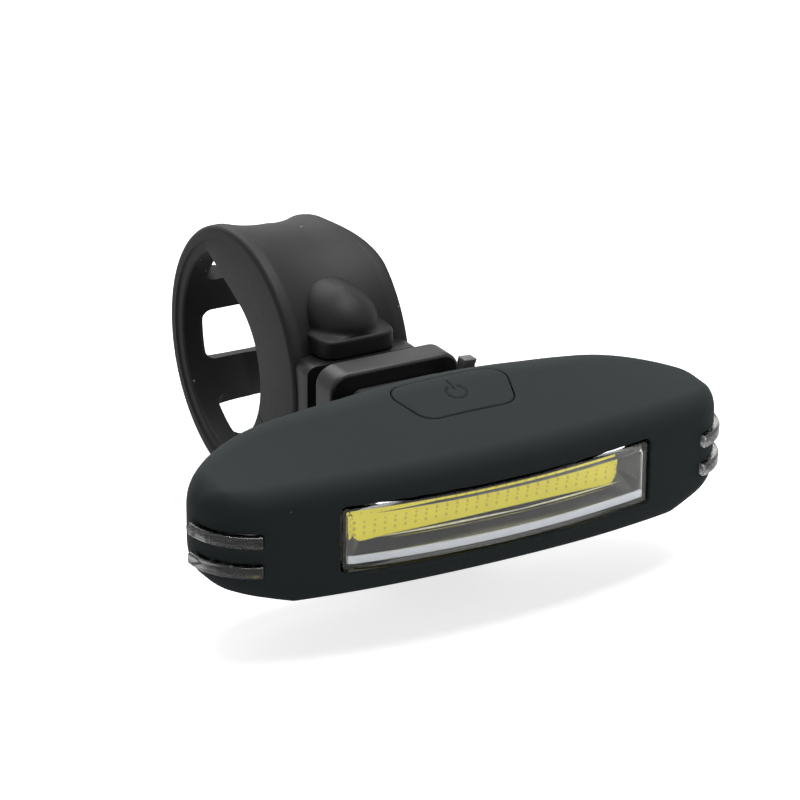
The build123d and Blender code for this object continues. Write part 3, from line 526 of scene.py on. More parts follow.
# Most that a round takes of the section's depth or height, and the least round and depth
FRONT_ROUND_SHARE = 0.3
BACK_ROUND_SHARE = 0.46
BACK_HEIGHT_SHARE = 0.75
LEAST_ROUND = 0.8 * MM
FLAT_GUARD = 1e-6


def section_corners(head, x, inset):
    """Corners (y, z) and corner radii of the head's section at every x.

    The section is a wedge: a low front, and a top and bottom that rise to the back. Both fall
    towards the ends with the square of x, and round off at the tips.
    """
    half = head.length / 2 - inset
    front, back = plan_limits(head, x, inset)
    depth = np.maximum(back - front, FLAT_GUARD)
    back = front + depth
    fall = head.end_fall * (2 * x / head.length) ** 2
    past = np.clip(np.abs(x) - (half - head.tip_round), 0, head.tip_round)
    tip = head.tip_round - np.sqrt(head.tip_round**2 - past**2)
    front_half = head.front_half_height - inset - head.front_fall * fall - tip
    front_r = np.minimum(max(head.front_round - inset, LEAST_ROUND), FRONT_ROUND_SHARE * depth)
    back_r = np.minimum(max(head.back_round - inset, LEAST_ROUND), BACK_ROUND_SHARE * depth)
    low_crest = head.bottom_crest - inset - fall - tip
    back_r = np.minimum(back_r, BACK_HEIGHT_SHARE * low_crest)
    low_half = head.low_half_height + head.low_share * fall
    low_half = np.minimum(low_half, head.bottom_crest - fall) - inset - tip
    heights = []
    for crest, start in ((head.top_crest, front_half), (head.bottom_crest, low_half)):
        slope = (crest - inset - fall - tip - start) / (depth - back_r)
        heights.append(start + slope * depth)
    low_front = np.stack((front, head.mid_z - low_half), -1)
    high_front = np.stack((front, head.mid_z + front_half), -1)
    high_back = np.stack((back, head.mid_z + heights[0]), -1)
    low_back = np.stack((back, head.mid_z - heights[1]), -1)
    corners = np.stack((low_front, high_front, high_back, low_back), axis=-2)
    return corners, np.stack((front_r, front_r, back_r, back_r), axis=-1)


def head_grid(head, x, inset, arc_steps, line_steps):
    """Grid of the head's closed form: one rounded section for each x."""
    corners, radii = section_corners(head, x, inset)
    section = rounded_outline(corners, radii, arc_steps, line_steps)
    across = np.broadcast_to(x[:, None, None], section.shape[:2] + (1,))
    return np.concatenate((across, section), axis=-1)


def head_stations(head, breaks, steps, end_step):
    """Places along X: spans of even steps in the middle, even steps of arc round the ends."""
    end_x, _ = end_centre(head)
    middle = spaced(breaks + [end_x], steps)
    count = max(4, round(head.end_radius * math.pi / 2 / end_step))
    arc = np.linspace(0, math.pi / 2 - TIP_GUARD, count)[1:]
    side = np.concatenate((middle, end_x + head.end_radius * np.sin(arc)))
    return np.concatenate((-side[:0:-1], side))


# The last station stops just short of the tip, where the section would have no depth
TIP_GUARD = 0.006


def top_height(head, x, y):
    """Height of the head's top at (x, y): the wedge's straight top, then the back's round."""
    corners, radii = section_corners(head, x, 0.0)
    centre, start, _, _ = corner_round(corners, radii, 2)
    front = corners[..., 1, :]
    slope = (start[..., 1] - front[..., 1]) / (start[..., 0] - front[..., 0])
    line = front[..., 1] + slope * (y - front[..., 0])
    radius = radii[..., 2]
    arc = centre[..., 1] + np.sqrt(np.maximum(radius**2 - (y - centre[..., 0]) ** 2, 0))
    return np.where(y < start[..., 0], line, arc)


def button_corners(button, gap=0.0):
    """Corners of the button's outline on its own slope, grown by gap."""
    back = button.back_width / 2 + gap
    front = button.front_width / 2 + gap
    half = button.depth / 2 + gap
    return np.array([(-front, -half), (front, -half), (back, half), (-back, half)])


def on_button(head, button, points):
    """Points' (x, depth) places on the button's slope."""
    tilt = button.tilt
    y = points[..., 1] - button.centre_y
    z = points[..., 2] - head.mid_z
    return np.stack((points[..., 0], y * math.cos(tilt) + z * math.sin(tilt)), axis=-1)


def rib_middles(head, window):
    """Heights of the two ribs' middles."""
    middle = head.mid_z - window.rib_drop
    lift = (window.rib_gap + window.rib_height) / 2
    return middle - lift, middle + lift


def rib_corners(head, window, middle, gap):
    """Corners of a rib's outline grown by gap, as arc length round the end and height."""
    span = head.end_radius * (window.back_angle - window.front_angle) / 2 + gap
    centre = head.end_radius * (window.back_angle + window.front_angle) / 2
    return rectangle(span, window.rib_height / 2 + gap, (centre, middle))


def on_end(head, points):
    """Points' (arc length round the end, height) places, the same for both ends."""
    end_x, end_y = end_centre(head)
    angle = np.arctan2(points[..., 1] - end_y, np.abs(points[..., 0]) - end_x)
    return np.stack((head.end_radius * angle, points[..., 2]), axis=-1)


class Openings:
    """Outlines of the skin's openings, from the same sizes as the pieces in them."""

    def __init__(self, scene):
        self.head = scene.headlight_head
        self.lens = scene.headlight_lens
        self.button = scene.headlight_button
        self.window = scene.headlight_window

    def flat(self):
        """Corners, corner radius and side (-1 front, 1 back) of each opening that faces along Y."""
        lens = self.lens
        half = (lens.length / 2 + lens.seat, lens.height / 2 + lens.seat)
        openings = [(rectangle(*half, (0, lens.mid_z)), lens.corner, -1)]
        for node in ("rail_shoe", "usb_cover"):
            low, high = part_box(node)
            half = ((high.x - low.x) / 2 + BACK_GAP, (high.z - low.z) / 2 + BACK_GAP)
            middle = ((low.x + high.x) / 2, (low.z + high.z) / 2)
            openings.append((rectangle(*half, middle), BACK_CORNER, 1))
        return openings

    def ribs(self):
        """Corners of the openings for an end's two ribs, on the end's unrolled face."""
        for middle in rib_middles(self.head, self.window):
            yield rib_corners(self.head, self.window, middle, self.window.seat)

    def falls(self, grid):
        """How far the skin falls at each point, beside each opening that is on its side."""
        head, button, lip = self.head, self.button, self.head.lip
        x, y, z = (grid[..., axis] for axis in range(3))
        facing = np.stack((x, z), axis=-1)
        middle_y = (SKIN_LOW.y + SKIN_HIGH.y) / 2
        fall = np.zeros(x.shape)

        def add(distance, here):
            np.maximum(fall, np.where(here, lip_fall(distance, lip), 0), out=fall)

        for corners, corner, side in self.flat():
            add(outline_distance(facing, corners, corner), side * (y - middle_y) > SIDE_REACH)
        corners = button_corners(button, button.gap)
        away = outline_distance(on_button(head, button, grid), corners, button.corner + button.gap)
        # The lip's round beside the button is a third smaller
        add(away + lip / 3, z > head.mid_z + SIDE_REACH)
        place = on_end(head, grid)
        for corners in self.ribs():
            add(outline_distance(place, corners, RIB_CORNER), np.abs(x) > end_centre(head)[0])
        return fall

    def cutters(self):
        """Closed forms of the openings, through the skin's wall."""
        head, button = self.head, self.button
        deep = 3 * head.wall
        # First and last place of the prisms through the front and the back
        reach = {
            -1: (SKIN_LOW.y - deep, SKIN_LOW.y + 2 * deep),
            1: (SKIN_HIGH.y - deep, SKIN_HIGH.y + deep),
        }
        cutters = [
            facing_prism("flat hole", corners, corner, *reach[side])
            for corners, corner, side in self.flat()
        ]
        outline = outline_points(
            button_corners(button, button.gap), button.corner + button.gap, BUTTON_STEPS
        )
        cutters.append(button_prism("button hole", head, button, outline, *BUTTON_REACH))
        radii = (head.end_radius - 2 * head.wall, head.end_radius + 2 * head.wall)
        for side in (-1, 1):
            for corners in self.ribs():
                outline = outline_points(corners, RIB_CORNER, SLOT_STEPS)
                cutters.append(end_prism("rib hole", head, outline, radii, side))
        return cutters


# Gap of the openings at the back, and the corner radii of the openings there and for the ribs
BACK_GAP = 0.25 * MM
BACK_CORNER = 1 * MM
RIB_CORNER = 0.5 * MM
# An opening only acts this far beyond the head's middle, on its own side
SIDE_REACH = 5 * MM
# Heights over the middle between which the button's hole is cut
BUTTON_REACH = (2 * MM, 20 * MM)
BUTTON_STEPS = (16, 40)
SLOT_STEPS = (8, 48)


def outline_points(corners, radius, steps):
    """Points round one rounded polygon, with steps for its arcs and for its runs."""
    corners = np.asarray(corners, float)
    count = len(corners)
    radii = np.full(count, radius)
    return rounded_outline(corners, radii, (steps[0],) * count, (steps[1],) * count)


def facing_prism(name, corners, radius, near, far):
    """Prism of a rounded (x, z) outline that runs along Y from near to far."""
    outline = outline_points(corners, radius, (10, 2))
    rows = [np.insert(outline, 1, y, axis=-1) for y in (near, far)]
    return solid(name, np.stack(rows))


def button_prism(name, head, button, outline, low, high):
    """Prism of an outline on the button's slope, between two heights over the middle."""
    tilt = button.tilt
    rows = []
    for height in (low, high):
        y = button.centre_y + outline[:, 1] * math.cos(tilt) - height * math.sin(tilt)
        z = head.mid_z + outline[:, 1] * math.sin(tilt) + height * math.cos(tilt)
        rows.append(np.stack((outline[:, 0], y, z), axis=-1))
    return solid(name, np.stack(rows))


def end_prism(name, head, outline, radii, side):
    """Block with an (arc length, height) outline round an end, between two radii."""
    end_x, end_y = end_centre(head)
    angle = outline[..., 0] / head.end_radius
    rows = []
    for radius in radii:
        x = side * (end_x + radius * np.cos(angle))
        rows.append(np.stack((x, end_y + radius * np.sin(angle), outline[..., 1]), axis=-1))
    return solid(name, np.stack(rows))


# Materials


def new_material(name):
    """Node material, with its node tree and Principled shader."""
    material = bpy.data.materials.new(name)
    material.use_nodes = True
    tree = material.node_tree
    return material, tree, tree.nodes["Principled BSDF"]


def feed(tree, value, target):
    """Join a socket to the target socket, or set the target to a plain value."""
    if isinstance(value, bpy.types.NodeSocket):
        tree.links.new(value, target)
    else:
        target.default_value = value


def feed_all(tree, node, **values):
    """Feed a node's inputs by name, with underscores for the names' spaces."""
    for key, value in values.items():
        feed(tree, value, node.inputs[key.replace("_", " ")])


def add_node(tree, kind, **values):
    """New node with its properties set and its inputs fed."""
    node = tree.nodes.new(kind)
    for key, value in values.items():
        if hasattr(node, key):
            setattr(node, key, value)
        else:
            feed_all(tree, node, **{key: value})
    return node


def math_node(tree, operation, first, second=None):
    """Math node on sockets or plain numbers, returning its value socket."""
    node = add_node(tree, "ShaderNodeMath", operation=operation)
    feed(tree, first, node.inputs[0])
    if second is not None:
        feed(tree, second, node.inputs[1])
    return node.outputs[0]


def mix_colours(tree, factor, first, second, blend="MIX"):
    """Mix of two colours, each a socket or plain, returning its colour socket."""
    node = add_node(tree, "ShaderNodeMix", data_type="RGBA", blend_type=blend)
    for index, value in ((0, factor), (6, first), (7, second)):
        feed(tree, value, node.inputs[index])
    return node.outputs[2]


def noise(tree, place, **values):
    """Value socket of a noise over the place."""
    return add_node(tree, "ShaderNodeTexNoise", Vector=place, **values).outputs["Fac"]


def fade(tree, value, nothing, full):
    """Smooth step of a value, from 0 at nothing to 1 at full."""
    node = add_node(tree, "ShaderNodeMapRange", interpolation_type="SMOOTHSTEP", Value=value)
    node.inputs["From Min"].default_value = nothing
    node.inputs["From Max"].default_value = full
    return node.outputs["Result"]


def object_place(tree):
    """Socket of the Object coordinates."""
    return tree.nodes.new("ShaderNodeTexCoord").outputs["Object"]


def object_axes(tree):
    """Object coordinates' socket, and the outputs of its X, Y and Z."""
    place = object_place(tree)
    parts = tree.nodes.new("ShaderNodeSeparateXYZ")
    feed(tree, place, parts.inputs[0])
    return place, parts.outputs


def new_group(name, inputs, outputs):
    """Shader node group with named float or colour sockets."""
    group = bpy.data.node_groups.new(name, "ShaderNodeTree")
    for label, kind, value in inputs:
        socket = group.interface.new_socket(label, in_out="INPUT", socket_type=kind)
        socket.default_value = value
    for label, kind in outputs:
        group.interface.new_socket(label, in_out="OUTPUT", socket_type=kind)
    return group, group.nodes.new("NodeGroupInput"), group.nodes.new("NodeGroupOutput")


FLOAT = "NodeSocketFloat"
COLOUR = "NodeSocketColor"
SURFACE_GROUP = "Moulded surface"
# Scales of the mottle's noise and of the dust's cells, per metre
MOTTLE_SCALE = 60
DUST_SCALE = 420
# A speck's radius, in the dust's own cell size
SPECK_RADIUS = 0.09
# How much the grain roughens the surface
GRAIN_ROUGHNESS = 0.12


def moulded_group():
    """Moulded surface: fine grain, slow mottle and pale dust, over a base colour."""
    if SURFACE_GROUP in bpy.data.node_groups:
        return bpy.data.node_groups[SURFACE_GROUP]
    group, entry, result = new_group(
        SURFACE_GROUP,
        [
            ("Colour", COLOUR, (0.05, 0.05, 0.05, 1)),
            ("Dust colour", COLOUR, (0.3, 0.3, 0.3, 1)),
            ("Roughness", FLOAT, 0.5),
            ("Grain size", FLOAT, 0.0005),
            ("Mottle", FLOAT, 0.1),
            ("Dust", FLOAT, 0.1),
        ],
        [("Colour", COLOUR), ("Roughness", FLOAT), ("Height", FLOAT)],
    )
    given = entry.outputs
    place = object_place(group)
    grain_scale = math_node(group, "DIVIDE", 1, given["Grain size"])
    grain = noise(group, place, Scale=grain_scale, Detail=3, Roughness=0.6)
    mottle = noise(group, place, Scale=MOTTLE_SCALE, Detail=2)
    dust = add_node(group, "ShaderNodeTexVoronoi", Vector=place, Scale=DUST_SCALE)
    # A speck sits only where its cell's point is near, and only in some cells
    near = math_node(group, "LESS_THAN", dust.outputs["Distance"], SPECK_RADIUS)
    cell = add_node(group, "ShaderNodeSeparateColor", Color=dust.outputs["Color"])
    chosen = math_node(group, "LESS_THAN", cell.outputs[0], given["Dust"])
    speck = math_node(group, "MULTIPLY", near, chosen)
    shift = math_node(group, "SUBTRACT", mottle, 0.5)
    shift = math_node(group, "MULTIPLY", shift, given["Mottle"])
    bright = math_node(group, "ADD", shift, 1)
    grey = group.nodes.new("ShaderNodeCombineColor")
    for index in range(3):
        feed(group, bright, grey.inputs[index])
    shaded = mix_colours(group, 1, given["Colour"], grey.outputs[0], "MULTIPLY")
    dusted = mix_colours(group, speck, shaded, given["Dust colour"])
    rough = math_node(group, "MULTIPLY", grain, GRAIN_ROUGHNESS)
    rough = math_node(group, "ADD", rough, given["Roughness"])
    feed_all(group, result, Colour=dusted, Roughness=rough, Height=grain)
    return group


# Height of the moulded grain's relief, at full bump
GRAIN_HEIGHT = 0.04 * MM


def moulded_material(name, base, roughness, grain, bump, mottle=0.12, dust=0.04, **shader_values):
    """Moulded rubber or plastic with the moulded surface's grain, mottle and dust."""
    material, tree, shader = new_material(name)
    effect = add_node(tree, "ShaderNodeGroup", node_tree=moulded_group())
    dust_colour = (*(min(1.0, 0.12 + 2 * part) for part in base), 1)
    feed_all(
        tree, effect, Colour=(*base, 1), Dust_colour=dust_colour, Roughness=roughness,
        Grain_size=grain, Mottle=mottle, Dust=dust,
    )
    grain_height = effect.outputs["Height"]
    relief = add_node(
        tree, "ShaderNodeBump", Strength=bump, Distance=GRAIN_HEIGHT, Height=grain_height
    )
    feed_all(
        tree, shader, Base_Color=effect.outputs["Colour"], Roughness=effect.outputs["Roughness"],
        Normal=relief.outputs["Normal"], **shader_values,
    )
    return material


def clear_material(name, tint, roughness, shade_share):
    """Clear plastic. Shadow rays pass it, so that what lies behind is lit."""
    material, tree, shader = new_material(name)
    haze = noise(tree, object_place(tree), Scale=900, Detail=2)
    rays = tree.nodes.new("ShaderNodeLightPath")
    passed = math_node(tree, "MULTIPLY", rays.outputs["Is Shadow Ray"], 1 - shade_share)
    feed_all(
        tree, shader, Transmission_Weight=1, IOR=1.49, Base_Color=(*tint, 1),
        Roughness=math_node(tree, "MULTIPLY", haze, roughness),
        Alpha=math_node(tree, "SUBTRACT", 1, passed),
    )
    return material


# Bond marks: columns along the strip, heights over its lower edge, radius and squash in height
DOT_COLUMNS = 26.5
DOT_HEIGHTS = (1.4 * MM, 2.35 * MM, 3.3 * MM, 5.4 * MM)
DOT_RADIUS = 0.2 * MM
DOT_SQUASH = 0.72
DOT_STRENGTH = 0.75


def phosphor_material(colours, lens):
    """Yellow silicone gel over columns of bond marks, three near the bottom and one on top, and a
    painted glow.

    A mark's mask fades with the distance from its middle, the root of the sum of the squares.
    """
    material, tree, shader = new_material("phosphor")
    place, axes = object_axes(tree)
    pitch = lens.strip_length / DOT_COLUMNS
    column = math_node(tree, "DIVIDE", axes["X"], pitch)
    column = math_node(tree, "SUBTRACT", column, math_node(tree, "ROUND", column))
    across = math_node(tree, "POWER", math_node(tree, "MULTIPLY", column, pitch), 2)
    low = lens.mid_z + lens.strip_lift - lens.strip_height / 2
    mask = 0.0
    for height in DOT_HEIGHTS:
        up = math_node(tree, "SUBTRACT", axes["Z"], low + height)
        up = math_node(tree, "POWER", math_node(tree, "MULTIPLY", up, DOT_SQUASH), 2)
        away = math_node(tree, "SQRT", math_node(tree, "ADD", up, across))
        dot = fade(tree, away, 1.4 * DOT_RADIUS, 0.5 * DOT_RADIUS)
        mask = math_node(tree, "MAXIMUM", mask, dot)
    mask = math_node(tree, "MULTIPLY", mask, DOT_STRENGTH)
    dull = (*(0.93 * part for part in colours.phosphor), 1)
    bright = (*(min(1.0, 1.05 * part) for part in colours.phosphor), 1)
    tone = mix_colours(tree, noise(tree, place, Scale=260, Detail=3), dull, bright)
    gel = mix_colours(tree, mask, tone, (*colours.bond, 1))
    # Painted glow: the strip is no lamp, but a small emission of its own colour makes it brighter
    # and more yellow
    feed_all(
        tree, shader, Base_Color=gel, Emission_Color=gel, Emission_Strength=0.42, Roughness=0.35,
        Subsurface_Weight=0.1, Subsurface_Radius=(0.6 * MM, 0.5 * MM, 0.2 * MM),
    )
    return material


def metal_material(name, base, roughness):
    """Brushed metal with a fine uneven polish."""
    material, tree, shader = new_material(name)
    polish = noise(tree, object_place(tree), Scale=1500, Detail=4)
    rough = math_node(tree, "ADD", math_node(tree, "MULTIPLY", polish, 0.2), roughness)
    feed_all(tree, shader, Roughness=rough, Metallic=1, Base_Color=(*base, 1))
    return material


# Colour and reach of the painted highlight on the block's front upper edge
PAINTED_HIGHLIGHT_COLOUR = (0.2, 0.19, 0.18, 1)
PAINTED_HIGHLIGHT_REACH = (1.1 * MM, 0.2 * MM)


def painted_highlight_material(name, base, low, high):
    """Satin black with a painted highlight along the front's upper edge, in bright flecks.

    The highlight's mask falls off with the distance from that edge along Y plus along Z; a noise
    breaks it up.
    """
    material = moulded_material(name, base, 0.34, 0.5 * MM, 0.3, Specular_IOR_Level=0.3)
    tree = material.node_tree
    coat = tree.nodes["Principled BSDF"].inputs["Base Color"]
    place, axes = object_axes(tree)
    away_y = math_node(tree, "ABSOLUTE", math_node(tree, "SUBTRACT", axes["Y"], low.y))
    away_z = math_node(tree, "ABSOLUTE", math_node(tree, "SUBTRACT", high.z, axes["Z"]))
    near = fade(tree, math_node(tree, "ADD", away_y, away_z), *PAINTED_HIGHLIGHT_REACH)
    highlight_noise = noise(tree, place, Scale=3200, Detail=3)
    # Stretched about the noise's middle, so that bright flecks of the painted highlight and bare
    # places lie side by side
    highlight_flecks = math_node(tree, "SUBTRACT", math_node(tree, "MULTIPLY", highlight_noise, 5), 2.2)
    highlight_flecks = math_node(tree, "MINIMUM", math_node(tree, "MAXIMUM", highlight_flecks, 0), 1)
    mask = math_node(tree, "MULTIPLY", near, highlight_flecks)
    feed(tree, mix_colours(tree, mask, coat.links[0].from_socket, PAINTED_HIGHLIGHT_COLOUR), coat)
    return material


MATERIALS = {}


def finish_of(slot):
    """Material of a record slot or of a kept node, made the first time it is asked for."""
    if slot in MATERIALS:
        return MATERIALS[slot]
    scene = bpy.context.scene
    colours = scene.headlight_colours
    makers = {
        "soft_silicone": lambda: moulded_material(
            slot, colours.silicone, 0.6, 0.35 * MM, 0.25, Specular_IOR_Level=0.05
        ),
        "strap_rubber": lambda: moulded_material(
            slot, colours.rubber, 0.45, 0.6 * MM, 0.3,
            mottle=0.2, dust=0.08, Specular_IOR_Level=0.16,
        ),
        "gloss_black": lambda: moulded_material(
            slot, colours.gloss, 0.34, 0.5 * MM, 0.3, mottle=0.1, dust=0.06, Specular_IOR_Level=0.3
        ),
        "lever_plastic": lambda: moulded_material(slot, colours.lever, 0.38, 0.5 * MM, 0.3),
        "case_plastic": lambda: moulded_material(slot, colours.plastic, 0.42, 0.5 * MM, 0.3),
        "clear_plastic": lambda: clear_material(slot, (0.93, 0.94, 0.95), 0.06, 0.15),
        "smoky window": lambda: clear_material("smoky window", (0.46, 0.47, 0.46), 0.4, 0.5),
        # The block's material has a painted highlight along its front's upper edge
        "block with painted highlight": lambda: painted_highlight_material(slot, colours.gloss, *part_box("mount_block")),
        "white_reflector": lambda: moulded_material(
            slot, colours.white, 0.3, 0.8 * MM, 0.1, mottle=0.03, dust=0.0
        ),
        "yellow_phosphor": lambda: phosphor_material(colours, scene.headlight_lens),
        "board_metal": lambda: metal_material(slot, colours.steel, 0.3),
        "board_green": lambda: moulded_material(slot, colours.board, 0.35, 0.8 * MM, 0.1),
        "chip_black": lambda: moulded_material(slot, (0.012, 0.012, 0.013), 0.4, 0.4 * MM, 0.2),
        "switch_body": lambda: moulded_material(slot, (0.02, 0.02, 0.022), 0.45, 0.4 * MM, 0.2),
        "steel": lambda: metal_material(slot, colours.steel, 0.22),
        "cell_foil": lambda: metal_material(slot, (0.55, 0.56, 0.58), 0.4),
        "foam": lambda: moulded_material(slot, (0.25, 0.25, 0.24), 0.9, 0.3 * MM, 0.8),
    }
    MATERIALS[slot] = makers[slot]()
    return MATERIALS[slot]


def dress(piece, slot, body, *nodes):
    """Give a new piece the material of its slot and its body, and hide the CAD nodes it stands for.
    """
    piece.data.materials.clear()
    piece.data.materials.append(finish_of(slot))
    if body:
        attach(piece, body)
    if nodes:
        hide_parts(*nodes)
    return piece


# A copy's points nearer than this merge, faces within the first angle of one another count as
# flat, and edges over the second angle are rounded
FLAT_REACH = 1e-6
FLAT_ANGLE = math.radians(1)
EDGE_ANGLE = math.radians(30)


def rounded_copy(name, node, width):
    """Copy of a CAD node with its flat faces merged and its edges rounded."""
    mesh = NODES[node].data.copy()
    work = bmesh.new()
    work.from_mesh(mesh)
    bmesh.ops.remove_doubles(work, verts=work.verts, dist=FLAT_REACH)
    bmesh.ops.dissolve_limit(work, angle_limit=FLAT_ANGLE, verts=work.verts, edges=work.edges)
    work.to_mesh(mesh)
    work.free()
    piece = new_object(name, mesh)
    bevel = piece.modifiers.new("edges", "BEVEL")
    bevel.width = width
    bevel.segments = 3
    bevel.limit_method = "ANGLE"
    bevel.angle_limit = EDGE_ANGLE
    bevel.harden_normals = False
    settle(piece)
    return smooth(piece, 40)


# Operators


class HeadSkin(bpy.types.Operator):
    """Soft skin of the head, with rounded openings for all that sits in it"""

    bl_idname = "headlight.head_skin"
    bl_label = "Head skin"

    def execute(self, context):
        scene = context.scene
        head = scene.headlight_head
        openings = Openings(scene)
        x = head_stations(head, STATION_BREAKS, STATION_STEPS, TIP_STEP)
        grid = head_grid(head, x, 0.0, SKIN_ARCS, SKIN_LINES)
        normals = surface_normals(grid)
        middle = grid[len(x) // 2]
        outward = np.sign(np.sum(normals[len(x) // 2] * (middle - middle.mean(axis=0))))
        seam = np.exp(-(((grid[..., 2] - head.mid_z) / head.seam_width) ** 2)) * head.seam_height
        grid = grid + outward * normals * (seam - openings.falls(grid))[..., None]
        outer = solid("outer", grid)
        x = head_stations(head, [0], [1 * MM], 1 * MM) * (1 - 2 * head.wall / head.length)
        inner = flip(solid("inner", head_grid(head, x, head.wall, INNER_ARCS, INNER_LINES)))
        skin = join("head_skin", [outer, inner])
        carve(skin, openings.cutters())
        smooth(skin, 40)
        dress(skin, "soft_silicone", "head", "silicone_cover")
        return {"FINISHED"}


# Places along the head where the stations' spacing changes, and the spacing from each of them
# on: it is finer where the button's sides and the lens's ends lie
STATION_BREAKS = [0, 6 * MM, 11.7 * MM, 25 * MM, 26.8 * MM]
STATION_STEPS = [0.5 * MM, 0.18 * MM, 0.55 * MM, 0.15 * MM, 0.4 * MM]
TIP_STEP = 0.36 * MM
# Points of each round of the section and of the run before it, from the low front corner on
SKIN_ARCS, SKIN_LINES = (10, 10, 36, 16), (48, 84, 57, 24)
INNER_ARCS, INNER_LINES = (6, 6, 12, 8), (8, 12, 12, 8)


class SoftButton(bpy.types.Operator):
    """Soft button with its rounded edge and engraved power sign"""

    bl_idname = "headlight.soft_button"
    bl_label = "Soft button"

    def execute(self, context):
        scene = context.scene
        head, button = scene.headlight_head, scene.headlight_button
        outline = outline_points(button_corners(button), button.corner, (24, 60))
        # Rings from the edge to the middle, the first ones close together for the rounded edge
        shares = np.concatenate((
            1 - np.linspace(0, 1.3 * button.edge, 9) / (button.depth / 2),
            np.linspace(1 - 1.5 * button.edge / (button.depth / 2), 0.0, 42),
        ))
        place = outline[None] * shares[:, None, None]
        x = place[..., 0]
        tilt = button.tilt
        # The button lies on the head's top, whose height and place are found in turns
        y = button.centre_y + (place[..., 1] - FIRST_HEIGHT * math.sin(tilt)) * math.cos(tilt)
        z = top_height(head, x, y)
        for _ in range(3):
            lean = (z - head.mid_z) * math.sin(tilt)
            y = button.centre_y + (place[..., 1] - lean) / math.cos(tilt)
            z = top_height(head, x, y)
        edge = outline_distance(place, button_corners(button), button.corner)
        drop = lip_fall(-edge, button.edge) + sign_depth(button, place)
        top = np.stack((x, y, z - drop), axis=-1)
        bottom = np.stack((x[0], y[0], z[0] - head.wall), axis=-1)[None]
        piece = solid("power_button_soft", np.concatenate((bottom, top)))
        smooth(piece, 50)
        dress(piece, "soft_silicone", "button", "power_button")
        return {"FINISHED"}


# First guess of the button's height over the head's middle
FIRST_HEIGHT = 10 * MM
# Half of the angle that the sign's ring is open, and its bar's middle and half length, both as
# shares of the ring's radius
SIGN_OPENING = math.radians(32)
BAR_MIDDLE = 1.2
BAR_HALF = 0.75


def sign_depth(button, place):
    """Depth of the power sign: a ring open at the back and a bar through the opening.

    The depth is a half ellipse of the distance from the sign's nearest line.
    """
    x, y = place[..., 0], place[..., 1]
    ring_radius = button.sign_radius
    ring = np.abs(np.hypot(x, y) - ring_radius)
    end_x, end_y = ring_radius * math.sin(SIGN_OPENING), ring_radius * math.cos(SIGN_OPENING)
    ends = np.hypot(np.abs(x) - end_x, y - end_y)
    ring = np.where(np.abs(np.arctan2(x, y)) < SIGN_OPENING, ends, ring)
    past = np.maximum(np.abs(y - BAR_MIDDLE * ring_radius) - BAR_HALF * ring_radius, 0)
    away = np.minimum(ring, np.hypot(x, past)) / (button.sign_width / 2)
    return button.sign_depth * np.clip(1 - away**2, 0, 1) ** 0.5


class FrontLens(bpy.types.Operator):
    """Clear bevelled lens: outlines drawn in step by step, bowed like the head's front"""

    bl_idname = "headlight.front_lens"
    bl_label = "Front lens"

    def execute(self, context):
        scene = context.scene
        head, lens = scene.headlight_head, scene.headlight_lens
        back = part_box("front_lens")[1].y
        bevel, wall = lens.bevel, lens.wall
        soft = 0.25 * MM
        full = lens.height / 2
        # Each ring: how far it is drawn in, how far behind the bowed face, or None for the back
        outer = [
            (0, None),
            (0, bevel + soft),
            (0.3 * soft, bevel),
            (soft, bevel - soft),
            (bevel - soft, soft),
            (bevel - 0.3 * soft, 0.2 * soft),
            (bevel + soft, 0),
        ]
        outer += [(d, 0) for d in np.linspace(bevel + 2 * soft, full, 8)]
        inner = [(d, wall) for d in np.linspace(full, wall + 3 * soft, 6)]
        inner += [(wall + soft, 1.1 * wall), (wall, 1.1 * wall + soft), (wall, None)]
        rings = outer[::-1][:-1] + [outer[0]] + inner[::-1]
        piece = solid("lens", lens_rings(head, lens, rings, back))
        smooth(piece, 25)
        dress(piece, "clear_plastic", "head", "front_lens")
        return {"FINISHED"}


def lens_rings(head, lens, rings, back):
    """Closed rows of points for (drawn in, behind the face) pairs of the lens's outline."""
    rows = []
    for inward, behind in rings:
        outline = drawn_in(lens.length, lens.height, lens.corner, inward, lens.mid_z, (8, 40))
        x = outline[:, 0]
        y = np.full_like(x, back) if behind is None else lens_bow(head, lens, x) + behind
        rows.append(np.stack((x, y, outline[:, 1]), axis=-1))
    return np.stack(rows)


def lens_bow(head, lens, x):
    """Place along the beam of the lens's face at x: an arc proud of the head's front."""
    centre = SKIN_LOW.y + head.front_radius
    return centre - np.sqrt((head.front_radius + lens.proud) ** 2 - x**2)


# Least corner radius and least half height of an outline that is drawn in
LEAST_CORNER = 0.02 * MM
LEAST_HALF = 0.021 * MM


def drawn_in(length, height, corner, inward, up, steps):
    """Outline of a rounded rectangle at a height, with its sides drawn in."""
    half = (length / 2 - inward, max(height / 2 - inward, LEAST_HALF))
    return outline_points(rectangle(*half, (0, up)), max(corner - inward, LEAST_CORNER), steps)


class LightStrip(bpy.types.Operator):
    """Yellow strip with a crowned face and rows of bond marks"""

    bl_idname = "headlight.light_strip"
    bl_label = "Light strip"

    def execute(self, context):
        scene = context.scene
        lens = scene.headlight_lens
        low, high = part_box("light_strip")
        middle = lens.mid_z + lens.strip_lift
        full = lens.strip_height / 2
        # Rings close together over the rounded edge, then over the crowned face to its middle
        inward = [*np.linspace(0, STRIP_ROUND, 6), *np.linspace(0.7 * MM, full, 8)]
        rows = []
        for step in inward:
            part = min(step / STRIP_ROUND, 1)
            rise = (high.y - low.y) * math.sqrt(1 - (1 - part) ** 2)
            y = high.y - rise - lens.strip_crown * (step / full)
            outline = drawn_in(
                lens.strip_length, lens.strip_height, lens.strip_corner, step, middle, (12, 30)
            )
            rows.append(np.insert(outline, 1, y, axis=-1))
        piece = solid("phosphor_strip", np.stack(rows))
        smooth(piece, 40)
        dress(piece, "yellow_phosphor", "head", "light_strip")
        return {"FINISHED"}


# Width of the strip's rounded edge
STRIP_ROUND = 0.5 * MM


